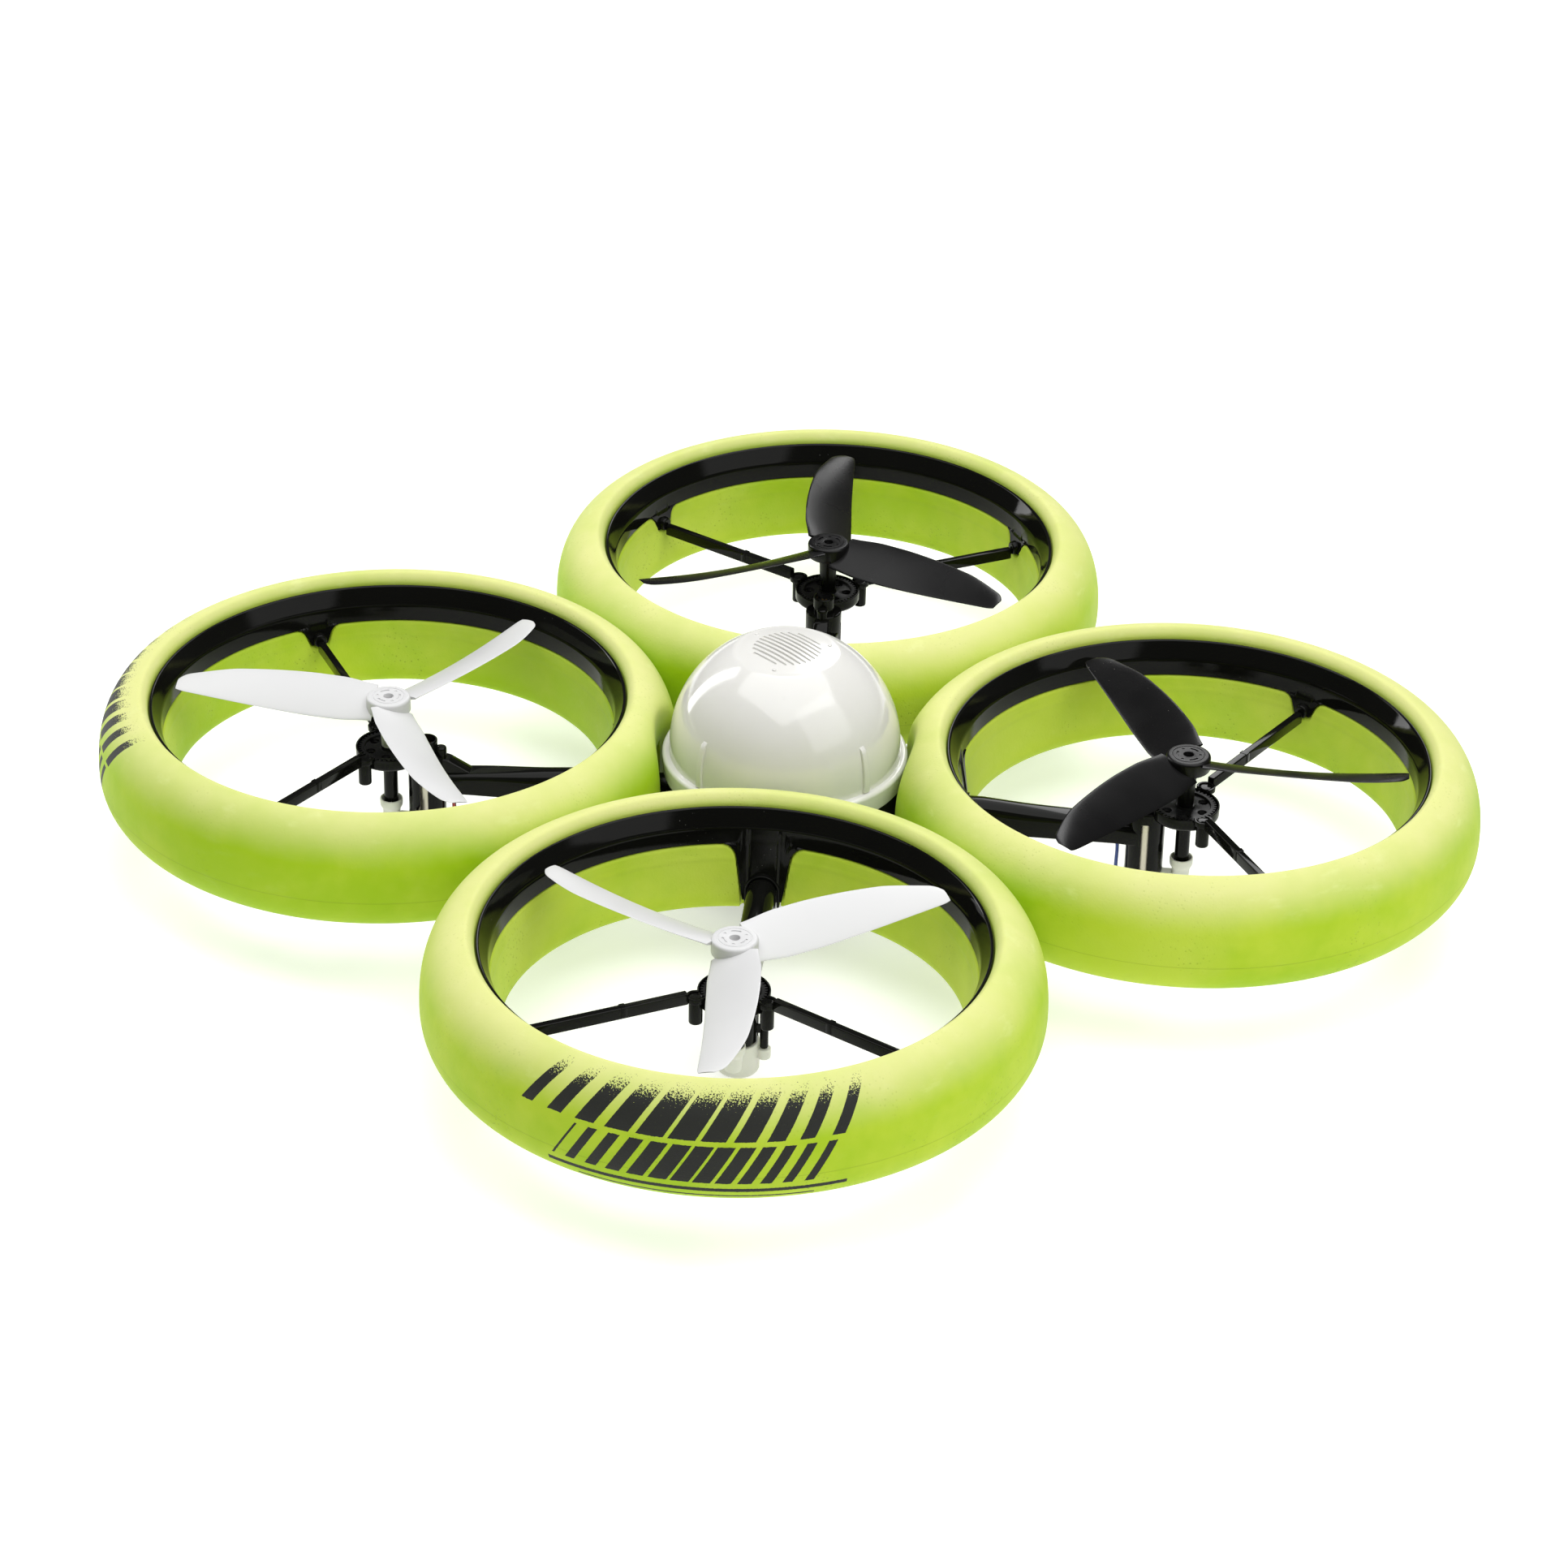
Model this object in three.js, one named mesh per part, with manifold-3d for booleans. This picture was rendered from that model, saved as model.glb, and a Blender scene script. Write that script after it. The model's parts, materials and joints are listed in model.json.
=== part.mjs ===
// Four-rotor radio-controlled flyer with foam ring bumpers.
// Millimetres. +Z up, origin on the floor under the middle, the nose points along -Y.
// Each rotor pod is drawn in its own frame: origin on the floor under the rotor axis,
// +X towards the middle of the aircraft, and is then turned and placed by a group.
import * as THREE from "three";
import { mergeVertices } from "three/addons/utils/BufferGeometryUtils.js";
import Module from "manifold-3d";

const wasm = await Module();
wasm.setup();

// ---- driving dimensions ----------------------------------------------------------------
const PITCH = 81.7;                 // rotor axis to the middle planes
const LIP_Z = 49;                   // top edge of the duct rings
const GAP = 0.3;                    // clearance left between touching pieces
const REACH = PITCH * Math.SQRT2;   // rotor axis to the middle of the aircraft

const LIP_R = 68.6;                 // duct ring: outer edge of the lip
const CREASE_R = 65.5;              // foot of the flare
const CREASE_Z = LIP_Z - 4.8;
const BAND_R = 65.2;                // lower edge of the ring, inner face
const BAND_Z = LIP_Z - 10.1;
const DUCT_WALL = 1.2;
const EAR_DROP = 5.2;
const TAB_TOP = 9.8;                // half widths of the tab that the arm passes under
const TAB_FOOT = 5.4;

const FOAM_MID_R = 68.9;            // centre of the bumper's rounded section
const FOAM_HALF_W = 15;
const FOAM_MID_Z = LIP_Z - 18.1;
const FOAM_UP = 21.3;
const FOAM_DOWN = 12.7;
const FOAM_POWER = 2.3;
const FOAM_FOOT_R = 62.2;           // inner wall at the bottom
const DOME_CLEAR_R = 37.2;          // hollow that the four bumpers leave for the dome

const CUP_R = 9.9;                  // gear cup
const CUP_WALL = 0.5;
const CUP_RIM_Z = LIP_Z - 16.3;
const CUP_FLOOR_Z = LIP_Z - 20;
const CUP_FLOOR_T = 1.2;
const PEG_R = 1.9;                  // pegs that the spokes hook on to
const PEG_AT = CUP_R + 1.2;
const PEG_TOP = CUP_RIM_Z + 0.5;
const PEG_BOTTOM = LIP_Z - 24.1;

const MODULE_MM = 0.4;              // gears
const GEAR_TEETH = 44;
const PINION_TEETH = 10;
const ADDENDUM = 0.3;
const DEDENDUM = 0.5;
const MOTOR_X = MODULE_MM * (GEAR_TEETH + PINION_TEETH) / 2;
const GEAR_Z = CUP_FLOOR_Z + CUP_FLOOR_T + 0.4;
const GEAR_T = 1.8;

const SHAFT_R = 0.75;
const TUBE_R = 2.1;
const TUBE_BORE = 1.75;
const TUBE_BOTTOM = 12.5;
const BUSH_LENGTH = 4;

const BARREL_R = 5.5;               // motor housing
const BARREL_BOTTOM = 10.3;
const BARREL_TOP = 30.8;
const MOTOR_R = 4.25;
const MOTOR_BOTTOM = 8.6;
const MOTOR_TOP = 28.4;
const SLOT_W = 2.3;
const PIN_R = 1.2;                  // pin beside the housing that stands on the foot cap's boss
const PIN_X = MOTOR_X - 1;
const PIN_Y = -7.2;
const PIN_TOP = 16.2;
const TURRET_R = 3.25;
const TURRET_TOP = LIP_Z - 13.4;

const ARM_W = 8;
const ARM_TOP = LIP_Z - 19.6;
const ARM_LEVEL_X = 58;             // the arm's top slopes down from here to the motor
const ARM_SLOPE = 0.09;
const RIB_TOP = LIP_Z - 15.6;
const ARM_BOTTOM = LIP_Z - 29;
const ARM_WALL = 1.2;
const ARM_END = REACH - 27;

const HUB_R = 6.4;                  // propeller
const HUB_BOTTOM = LIP_Z - 4.6;
const SLEEVE_R = 2.85;
const BLADE_ROOT_R = 4.2;
const BLADE_TIP_R = 62.5;
const BLADE_Z = LIP_Z - 2.7;
const CHORD = 15.7;

const SPOKE_IN = PEG_AT + PEG_R + 0.25;
const SPOKE_OUT = 62.6;
const SPOKE_Z = LIP_Z - 15.5;
const SPOKE_H = 3.2;
const SPOKE_W = 2.2;
const SPOKE_ANGLE = 2 * Math.PI / 3;

const CAP_R = 5.9;                  // foot caps
const CAP_TOP = 10;
const RING_R = 3.35;
const RING_TOP = 15;

const DOME_R = 33.2;
const DOME_MID_Z = LIP_Z - 5.6;
const DOME_TOP = LIP_Z + 25.5;
const DOME_WALL = 1.5;
const FLANGE_R = 35.4;
const FLANGE_TOP = LIP_Z - 8;
const FLANGE_BOTTOM = LIP_Z - 14.5;

const TRAY_R = 33.4;                // lower body
const TRAY_BOTTOM = 14;
const TRAY_TOP = FLANGE_BOTTOM - GAP;
const TRAY_WALL = 1.5;
const SWITCH_X = 22.5;
const SWITCH_TRAVEL = 2;

// ---- solids ----------------------------------------------------------------------------
function solid(geometry) {
  const plain = geometry.clone();
  for (const name of Object.keys(plain.attributes)) {
    if (name !== "position") plain.deleteAttribute(name);
  }
  const merged = mergeVertices(plain, 1e-4);
  return new wasm.Manifold(new wasm.Mesh({
    numProp: 3,
    vertProperties: new Float32Array(merged.attributes.position.array),
    triVerts: new Uint32Array(merged.index.array),
  }));
}

function toGeometry(manifold) {
  const { vertProperties, triVerts } = manifold.simplify(0.01).getMesh();
  const geometry = new THREE.BufferGeometry();
  geometry.setAttribute("position", new THREE.BufferAttribute(new Float32Array(vertProperties), 3));
  geometry.setIndex(new THREE.BufferAttribute(new Uint32Array(triVerts), 1));
  geometry.computeVertexNormals();
  return geometry;
}

function join(...pieces) {
  return pieces.reduce((sum, piece) => sum.add(piece));
}

function cut(piece, ...tools) {
  return tools.reduce((rest, tool) => rest.subtract(tool), piece);
}

function block(x0, x1, y0, y1, z0, z1) {
  const geometry = new THREE.BoxGeometry(x1 - x0, y1 - y0, z1 - z0);
  geometry.translate((x0 + x1) / 2, (y0 + y1) / 2, (z0 + z1) / 2);
  return solid(geometry);
}

function rod(radius, z0, z1, x = 0, y = 0, sides = 24) {
  const geometry = new THREE.CylinderGeometry(radius, radius, z1 - z0, sides);
  geometry.rotateX(Math.PI / 2);
  geometry.translate(x, y, (z0 + z1) / 2);
  return solid(geometry);
}

// A profile of [radius, height] points, counter-clockwise, turned about the Z axis.
function turned(profile, sides) {
  const points = profile.map(([r, z]) => new THREE.Vector2(r, z));
  if (points[0].x > 0) points.push(points[0].clone());
  const geometry = new THREE.LatheGeometry(points, sides);
  geometry.rotateX(Math.PI / 2);
  return solid(geometry);
}

function extruded(points, z0, z1) {
  const shape = new THREE.Shape(points.map(([x, y]) => new THREE.Vector2(x, y)));
  const geometry = new THREE.ExtrudeGeometry(shape, { depth: z1 - z0, bevelEnabled: false });
  geometry.translate(0, 0, z0);
  return solid(geometry);
}

function polar(radius, angle) {
  return [radius * Math.cos(angle), radius * Math.sin(angle)];
}

// ---- foam bumper -----------------------------------------------------------------------
// Rounded outer half: |x/a|^n + |z/b|^n = 1, with a taller upper half than lower half.
function foamSection() {
  const outline = [];
  const steps = 3;
  const arc = (from, to, up) => {
    for (let i = 0; i < steps; i += 1) {
      const t = from + (to - from) * i / steps;
      const c = Math.abs(Math.cos(t)) ** (2 / FOAM_POWER);
      const s = Math.abs(Math.sin(t)) ** (2 / FOAM_POWER);
      outline.push([FOAM_MID_R + FOAM_HALF_W * c, FOAM_MID_Z + up * s * Math.sign(Math.sin(t))]);
    }
  };
  outline.push([FOAM_FOOT_R, FOAM_MID_Z - FOAM_DOWN + 1.5]);
  outline.push([FOAM_FOOT_R + 1.8, FOAM_MID_Z - FOAM_DOWN + 0.1]);
  arc(-Math.PI / 2, 0, FOAM_DOWN);
  arc(0, Math.PI / 2, FOAM_UP);
  outline.push([FOAM_MID_R + 1.4, FOAM_MID_Z + FOAM_UP - 0.05]);
  outline.push([LIP_R + GAP, FOAM_MID_Z + FOAM_UP - 1.4]);
  outline.push([LIP_R + GAP, LIP_Z - 1.4]);
  outline.push([CREASE_R + DUCT_WALL + GAP, CREASE_Z]);
  outline.push([BAND_R + DUCT_WALL + GAP, BAND_Z - GAP]);
  outline.push([BAND_R - 0.1, BAND_Z - GAP]);
  return outline;
}

function makeFoam() {
  const ring = turned(foamSection(), 32);
  const slot = join(
    solid(armTab(40, GAP).translate(50, 0, 0)),
    block(50, 90, -TAB_FOOT - GAP, TAB_FOOT + GAP, -1, ARM_BOTTOM),
  );
  const dome = rod(DOME_CLEAR_R, 0, 90, REACH, 0, 32);
  let foam = cut(ring, slot, dome);
  for (const side of [-1, 1]) {
    const neighbour = new THREE.BoxGeometry(200, 60, 120);
    neighbour.translate(0, side * (30 + PITCH - 0.15), 40);
    neighbour.rotateZ(side * -Math.PI / 4);
    foam = cut(foam, solid(neighbour));
    foam = cut(foam, ear(side, GAP), spokeBoss(side, GAP));
  }
  return foam;
}

// ---- duct ring -------------------------------------------------------------------------
// A tongue under the ring: wide at the band, narrow at its foot, standing across the +X axis.
function tongue(halfTop, halfFoot, foot, grow) {
  const shape = new THREE.Shape([
    new THREE.Vector2(-halfTop - grow, BAND_Z + 1), new THREE.Vector2(-halfFoot - grow, foot - grow),
    new THREE.Vector2(halfFoot + grow, foot - grow), new THREE.Vector2(halfTop + grow, BAND_Z + 1),
  ]);
  const geometry = new THREE.ExtrudeGeometry(shape, { depth: 1, bevelEnabled: false });
  geometry.rotateX(Math.PI / 2);
  geometry.rotateZ(Math.PI / 2);
  return geometry;
}

function ear(side, grow) {
  const geometry = tongue(6, 2.2, BAND_Z - EAR_DROP, grow);
  geometry.scale(DUCT_WALL + 2 * grow, 1, 1);
  geometry.translate(BAND_R - 0.3 - grow, 0, 0);
  geometry.rotateZ(side * SPOKE_ANGLE);
  return solid(geometry);
}

function armTab(depth, grow) {
  const geometry = tongue(TAB_TOP, TAB_FOOT, ARM_BOTTOM, grow);
  geometry.scale(depth, 1, 1);
  return geometry;
}

// Round boss on the ear that the spoke's end meets.
function spokeBoss(side, grow) {
  const geometry = new THREE.CylinderGeometry(2 + grow, 1.7 + grow, 3 + 2 * grow, 8);
  geometry.rotateZ(-Math.PI / 2);
  geometry.translate(SPOKE_OUT + 1.5, 0, SPOKE_Z + 1);
  geometry.rotateZ(side * SPOKE_ANGLE);
  return solid(geometry);
}

function makeDuct() {
  const ring = turned([
    [LIP_R - 0.7, LIP_Z], [CREASE_R, CREASE_Z], [BAND_R, BAND_Z],
    [BAND_R + DUCT_WALL, BAND_Z], [CREASE_R + DUCT_WALL, CREASE_Z], [LIP_R, LIP_Z - 1.2],
    [LIP_R, LIP_Z],
  ], 32);
  let duct = ring;
  for (const side of [-1, 1]) {
    duct = join(duct, ear(side, 0), spokeBoss(side, 0));
  }
  const tab = solid(armTab(2.2, 0).translate(63.6, 0, 0));
  const collar = block(61.6, 66.4, -ARM_W / 2 - 1.1, ARM_W / 2 + 1.1, ARM_TOP - 4, ARM_TOP + 1.2);
  const passage = block(50, 80, -ARM_W / 2 - GAP, ARM_W / 2 + GAP, 0, ARM_TOP + GAP);
  return cut(join(duct, tab, collar), passage);
}

// ---- spokes ----------------------------------------------------------------------------
function makeSpoke(side) {
  const middle = (SPOKE_IN + SPOKE_OUT) / 2;
  const bar = block(SPOKE_IN, SPOKE_OUT - GAP, -SPOKE_W / 2, SPOKE_W / 2,
    SPOKE_Z - SPOKE_H / 2, SPOKE_Z + SPOKE_H / 2);
  const step = block(middle - 0.8, middle + 0.8, -SPOKE_W / 2 - 0.25, SPOKE_W / 2 + 0.25,
    SPOKE_Z - SPOKE_H / 2 + 0.4, SPOKE_Z + SPOKE_H / 2 - 0.4);
  return join(bar, step).rotate([0, 0, side * 120]);
}

// ---- gears -----------------------------------------------------------------------------
// Slim pointed teeth, so the pair runs with backlash.
function toothed(teeth, pitchRadius, z0, z1, phase) {
  const points = [];
  for (let i = 0; i < teeth; i += 1) {
    const angle = (2 * Math.PI * i) / teeth + phase;
    points.push(polar(pitchRadius + ADDENDUM, angle));
    points.push(polar(pitchRadius - DEDENDUM, angle + Math.PI / teeth));
  }
  return extruded(points, z0, z1);
}

function makeSpurGear() {
  const gear = toothed(GEAR_TEETH, MODULE_MM * GEAR_TEETH / 2, GEAR_Z, GEAR_Z + GEAR_T, 0);
  return cut(gear, rod(SHAFT_R + 0.2, 0, 60, 0, 0, 10));
}

function makePinion() {
  const phase = Math.PI + Math.PI / PINION_TEETH;
  const gear = toothed(PINION_TEETH, MODULE_MM * PINION_TEETH / 2, GEAR_Z, GEAR_Z + GEAR_T + 1.2, phase);
  return join(gear, rod(0.6, MOTOR_TOP + GAP, GEAR_Z + 0.5, 0, 0, 8)).translate([MOTOR_X, 0, 0]);
}

// ---- rotor -----------------------------------------------------------------------------
// The chord is widest at a third of the radius. The mid-line bows towards the leading edge,
// the twist washes out towards the tip, and the blade cones up a little.
function bladeChord(r) {
  const taper = Math.max(0, (r - 22) / 40) ** 1.5;
  return CHORD * (1 - 0.4 * taper);
}

function bladePitch(r) {
  return THREE.MathUtils.degToRad(23.5) * (1 - 0.55 * ((r - 22) / 40) ** 2);
}

function makeBlade(hand, turn) {
  const section = new THREE.Shape([
    new THREE.Vector2(-0.5, 0), new THREE.Vector2(-0.2, -0.5), new THREE.Vector2(0.3, -0.5),
    new THREE.Vector2(0.5, 0), new THREE.Vector2(0.2, 0.7), new THREE.Vector2(-0.3, 0.7),
  ]);
  const geometry = new THREE.ExtrudeGeometry(section, { depth: 1, steps: 5, bevelEnabled: false });
  const position = geometry.attributes.position;
  for (let i = 0; i < position.count; i += 1) {
    const r = BLADE_ROOT_R + position.getZ(i) * (BLADE_TIP_R - BLADE_ROOT_R);
    const across = position.getX(i) * bladeChord(r);
    const offset = 3.3 * Math.sin(Math.PI * r / 88) + across * Math.cos(bladePitch(r));
    const lift = 1.6 * (r / BLADE_TIP_R) ** 2 + across * Math.sin(bladePitch(r));
    position.setXYZ(i, r, hand * offset, BLADE_Z + lift + position.getY(i));
  }
  geometry.rotateZ(turn);
  return solid(hand > 0 ? geometry : flipped(geometry));
}

// A mirrored geometry's triangles are turned round again.
function flipped(geometry) {
  const position = geometry.attributes.position;
  for (let i = 0; i < position.count; i += 3) {
    const last = new THREE.Vector3().fromBufferAttribute(position, i + 2);
    const first = new THREE.Vector3().fromBufferAttribute(position, i);
    position.setXYZ(i, last.x, last.y, last.z);
    position.setXYZ(i + 2, first.x, first.y, first.z);
  }
  return geometry;
}

function makePropeller(hand) {
  const hub = turned([
    [0, HUB_BOTTOM], [HUB_R, HUB_BOTTOM], [HUB_R, LIP_Z - 0.5], [HUB_R - 0.5, LIP_Z], [0, LIP_Z],
  ], 20);
  const sleeve = turned([
    [0, GEAR_Z + GEAR_T + 0.2], [SLEEVE_R - 0.5, GEAR_Z + GEAR_T + 0.2], [SLEEVE_R, HUB_BOTTOM + 0.5],
    [0, HUB_BOTTOM + 0.5],
  ], 12);
  let propeller = join(hub, sleeve);
  for (let i = 0; i < 3; i += 1) {
    propeller = join(propeller, makeBlade(hand, Math.PI / 3 + i * 2 * Math.PI / 3));
  }
  const bore = rod(SHAFT_R + 0.2, 0, LIP_Z - 1, 0, 0, 10);
  return cut(propeller, bore, rod(1.5, LIP_Z - 2, LIP_Z + 1, 0, 0, 10));
}

function makeRotorShaft() {
  return rod(SHAFT_R, TUBE_BOTTOM + GAP, LIP_Z - 1.3, 0, 0, 10);
}

// ---- arm with gear cup, motor housing and shaft tube ------------------------------------
function armTopAt(x) {
  return ARM_TOP - ARM_SLOPE * Math.max(0, ARM_LEVEL_X - x);
}

// A bar along X with chamfered top edges, whose top follows the arm's slope.
function armBar(start, stop, half, top, bottom, edge) {
  const shape = new THREE.Shape([
    [-half, bottom], [half, bottom], [half, top - edge],
    [half - edge, top], [-half + edge, top], [-half, top - edge],
  ].map(([y, z]) => new THREE.Vector2(y, z)));
  const bar = new THREE.ExtrudeGeometry(shape, { depth: stop - start, bevelEnabled: false });
  bar.rotateX(Math.PI / 2);
  bar.rotateZ(Math.PI / 2);
  bar.translate(start, 0, 0);
  const places = bar.attributes.position;
  for (let i = 0; i < places.count; i += 1) {
    if (places.getZ(i) > bottom + 1) {
      places.setZ(i, places.getZ(i) + armTopAt(places.getX(i)) - ARM_TOP);
    }
  }
  return solid(bar);
}

// A wedge that falls from the housing's top to the arm.
function makeShoulder() {
  const side = [
    [MOTOR_X, BARREL_TOP - 6], [MOTOR_X + 13, BARREL_TOP - 6], [MOTOR_X + 13, armTopAt(MOTOR_X + 13)],
    [MOTOR_X + 6.2, BARREL_TOP - 0.6], [MOTOR_X, BARREL_TOP - 0.6],
  ];
  return extruded(side.map(([x, z]) => [x, z]), -2.2, 2.2).rotate([90, 0, 0]);
}

function makeArm() {
  const half = ARM_W / 2;
  const start = MOTOR_X + 3;
  const gusset = extruded([
    [MOTOR_X, -BARREL_R], [MOTOR_X + 12, -half], [MOTOR_X + 12, half], [MOTOR_X, BARREL_R],
  ], ARM_BOTTOM, armTopAt(start) - 0.5);
  let arm = join(
    armBar(start, ARM_LEVEL_X, half, ARM_TOP, ARM_BOTTOM, 1.3),
    armBar(ARM_LEVEL_X, ARM_END, half, ARM_TOP, ARM_BOTTOM, 1.3),
    gusset, makeShoulder(),
    rod(BARREL_R, BARREL_BOTTOM, BARREL_TOP, MOTOR_X, 0, 20),
    rod(TURRET_R, BARREL_TOP - 1, TURRET_TOP, MOTOR_X, 0, 14),
    rod(1.7, BARREL_TOP - 3, RIB_TOP, MOTOR_X + 4.2, 0, 8),
    rod(CUP_R, CUP_FLOOR_Z, CUP_RIM_Z, 0, 0, 28),
    rod(TUBE_R, TUBE_BOTTOM, CUP_FLOOR_Z + 0.5, 0, 0, 14),
    rod(PIN_R, CAP_TOP + GAP, PIN_TOP, PIN_X, PIN_Y, 8),
    block(PIN_X - 0.8, PIN_X + 0.8, PIN_Y, -BARREL_R + 1, PIN_TOP - 3, PIN_TOP),
    block(1, MOTOR_X - 4, -0.8, 0.8, CUP_FLOOR_Z - 3, CUP_FLOOR_Z + 0.5),
  );
  for (const side of [-1, 1]) {
    const [x, y] = polar(PEG_AT, side * SPOKE_ANGLE);
    arm = join(arm, rod(PEG_R, PEG_BOTTOM, PEG_TOP, x, y, 10));
  }
  return cut(
    arm,
    rod(CUP_R - CUP_WALL, CUP_FLOOR_Z + CUP_FLOOR_T, TURRET_TOP + 1, 0, 0, 28),
    rod(MODULE_MM * PINION_TEETH / 2 + ADDENDUM + 0.3, GEAR_Z - 0.4, TURRET_TOP + 1, MOTOR_X, 0, 14),
    rod(1, MOTOR_TOP, GEAR_Z, MOTOR_X, 0, 8),
    rod(MOTOR_R + 0.3, 0, MOTOR_TOP + 0.2, MOTOR_X, 0, 16),
    rod(TUBE_BORE, 0, TUBE_BOTTOM + 6, 0, 0, 12),
    rod(SHAFT_R + 0.3, 0, CUP_RIM_Z, 0, 0, 10),
    block(MOTOR_X - SLOT_W / 2, MOTOR_X + SLOT_W / 2, -9, 9, 0, 27.5),
    armBar(MOTOR_X + BARREL_R + 0.9, ARM_LEVEL_X + 0.1, half - ARM_WALL, ARM_TOP - ARM_WALL, 0, 0.8),
    armBar(ARM_LEVEL_X, ARM_END + 1, half - ARM_WALL, ARM_TOP - ARM_WALL, 0, 0.8),
  );
}

function makeBush() {
  const body = rod(TUBE_BORE - 0.2, TUBE_BOTTOM + 0.5, TUBE_BOTTOM + 0.5 + BUSH_LENGTH, 0, 0, 12);
  return cut(body, rod(SHAFT_R + 0.15, 0, 60, 0, 0, 10));
}

function makeMotor() {
  return join(
    rod(MOTOR_R, MOTOR_BOTTOM, MOTOR_TOP, MOTOR_X, 0, 16),
    rod(1.6, MOTOR_BOTTOM - 0.8, MOTOR_BOTTOM + 0.5, MOTOR_X, 0, 8),
  );
}

function makeFootCap() {
  const cup = rod(CAP_R, 0, CAP_TOP, MOTOR_X, 0, 20);
  const ring = turned([
    [0, RING_TOP - 8], [RING_R - 0.9, RING_TOP - 8], [RING_R, RING_TOP - 2.6],
    [RING_R, RING_TOP - 0.8], [RING_R - 0.4, RING_TOP], [0, RING_TOP],
  ], 14);
  const web = block(2.2, MOTOR_X - CAP_R + 1.5, -1.5, 1.5, RING_TOP - 8, CAP_TOP);
  const boss = join(
    rod(PIN_R + 0.8, CAP_TOP - 5, CAP_TOP, PIN_X, PIN_Y, 10),
    block(PIN_X - 1.2, PIN_X + 1.2, PIN_Y, -CAP_R + 0.7, CAP_TOP - 5, CAP_TOP),
  );
  return cut(
    join(cup, ring, web, boss),
    rod(4.7, 2, CAP_TOP + 2, MOTOR_X, 0, 16),
    rod(TUBE_R + 0.3, TUBE_BOTTOM - GAP - 0.7, 60, 0, 0, 12),
    block(MOTOR_X + 3, MOTOR_X + 9, -1.9, 1.9, 3, CAP_TOP + 1),
  );
}

// Two insulated wires side by side, from the foot of the motor up into the hollow arm.
function makeWires() {
  const route = new THREE.CatmullRomCurve3([
    [MOTOR_X + 2.6, 7.4], [MOTOR_X + 2.9, 5.6], [MOTOR_X + 5, 4.6], [MOTOR_X + 7.2, 6],
    [MOTOR_X + 7.9, 10], [MOTOR_X + 7.9, 18], [MOTOR_X + 9.4, 22.4], [MOTOR_X + 15, 23.8],
    [REACH - 50, 25.4], [ARM_END - 0.5, 25.4],
  ].map(([x, z]) => new THREE.Vector3(x, 0, z)));
  const wire = 0.55;
  const hull = new THREE.Shape([
    [-wire * 0.7, -1.9 * wire], [wire * 0.7, -1.9 * wire], [wire, 0],
    [wire * 0.7, 1.9 * wire], [-wire * 0.7, 1.9 * wire], [-wire, 0],
  ].map(([x, y]) => new THREE.Vector2(x, y)));
  const geometry = new THREE.ExtrudeGeometry(hull, { steps: 20, bevelEnabled: false, extrudePath: route });
  return solid(geometry);
}

// ---- middle ----------------------------------------------------------------------------
function makeDome() {
  const outer = [];
  const inner = [];
  const steps = 5;
  const low = Math.asin((FLANGE_TOP - DOME_MID_Z) / DOME_R);
  const high = Math.asin((DOME_TOP - 0.9 - DOME_MID_Z) / DOME_R);
  for (let i = 0; i <= steps; i += 1) {
    const t = low + (high - low) * i / steps;
    outer.push([DOME_R * Math.cos(t), DOME_MID_Z + DOME_R * Math.sin(t)]);
    inner.unshift([(DOME_R - DOME_WALL) * Math.cos(t), DOME_MID_Z + (DOME_R - DOME_WALL) * Math.sin(t)]);
  }
  return turned([
    [FLANGE_R - DOME_WALL - 1.2, FLANGE_BOTTOM], [FLANGE_R - 0.4, FLANGE_BOTTOM],
    [FLANGE_R, FLANGE_TOP - 0.6], [FLANGE_R - 0.6, FLANGE_TOP],
    ...outer, [9.8, DOME_TOP - 0.1], [0, DOME_TOP],
    [0, DOME_TOP - DOME_WALL - 0.4], ...inner,
  ], 28);
}

function makeTray() {
  let tray = cut(
    rod(TRAY_R, TRAY_BOTTOM, TRAY_TOP, 0, 0, 32),
    rod(TRAY_R - TRAY_WALL, TRAY_BOTTOM + TRAY_WALL, TRAY_TOP + 1, 0, 0, 32),
    block(-15, 15, -19, 19, 0, TRAY_BOTTOM + 4),
    block(SWITCH_X - 1.6, SWITCH_X + 1.6, -2, 2 + SWITCH_TRAVEL, 0, TRAY_BOTTOM + 4),
  );
  for (let i = 0; i < 4; i += 1) {
    const gate = block(20, 50, -ARM_W / 2 - GAP, ARM_W / 2 + GAP, ARM_BOTTOM - GAP, ARM_TOP + GAP);
    tray = cut(tray, gate.rotate([0, 0, 45 + 90 * i]));
  }
  const rail = (x0, x1) => join(
    block(x0, x1, -21, 21, TRAY_BOTTOM - 3.4, TRAY_BOTTOM + 0.5),
    block(Math.min(x0, Math.sign(x0) * 15.6), Math.max(x1, Math.sign(x0) * 15.6), -21, 21,
      TRAY_BOTTOM - 3.4, TRAY_BOTTOM - 2.3),
  );
  return join(tray, rail(17.4, 18.8), rail(-18.8, -17.4),
    block(-18.8, 18.8, -22.2, -20.8, TRAY_BOTTOM - 3.4, TRAY_BOTTOM + 0.5));
}

function makeSwitch() {
  const knob = block(SWITCH_X - 1.3, SWITCH_X + 1.3, -1.7, 1.7, TRAY_BOTTOM - 1.2, TRAY_BOTTOM + 2);
  const slider = block(SWITCH_X - 2.6, SWITCH_X + 2.6, -3, 3, TRAY_BOTTOM + TRAY_WALL + GAP, TRAY_BOTTOM + 3.4);
  return join(knob, slider);
}

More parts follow.
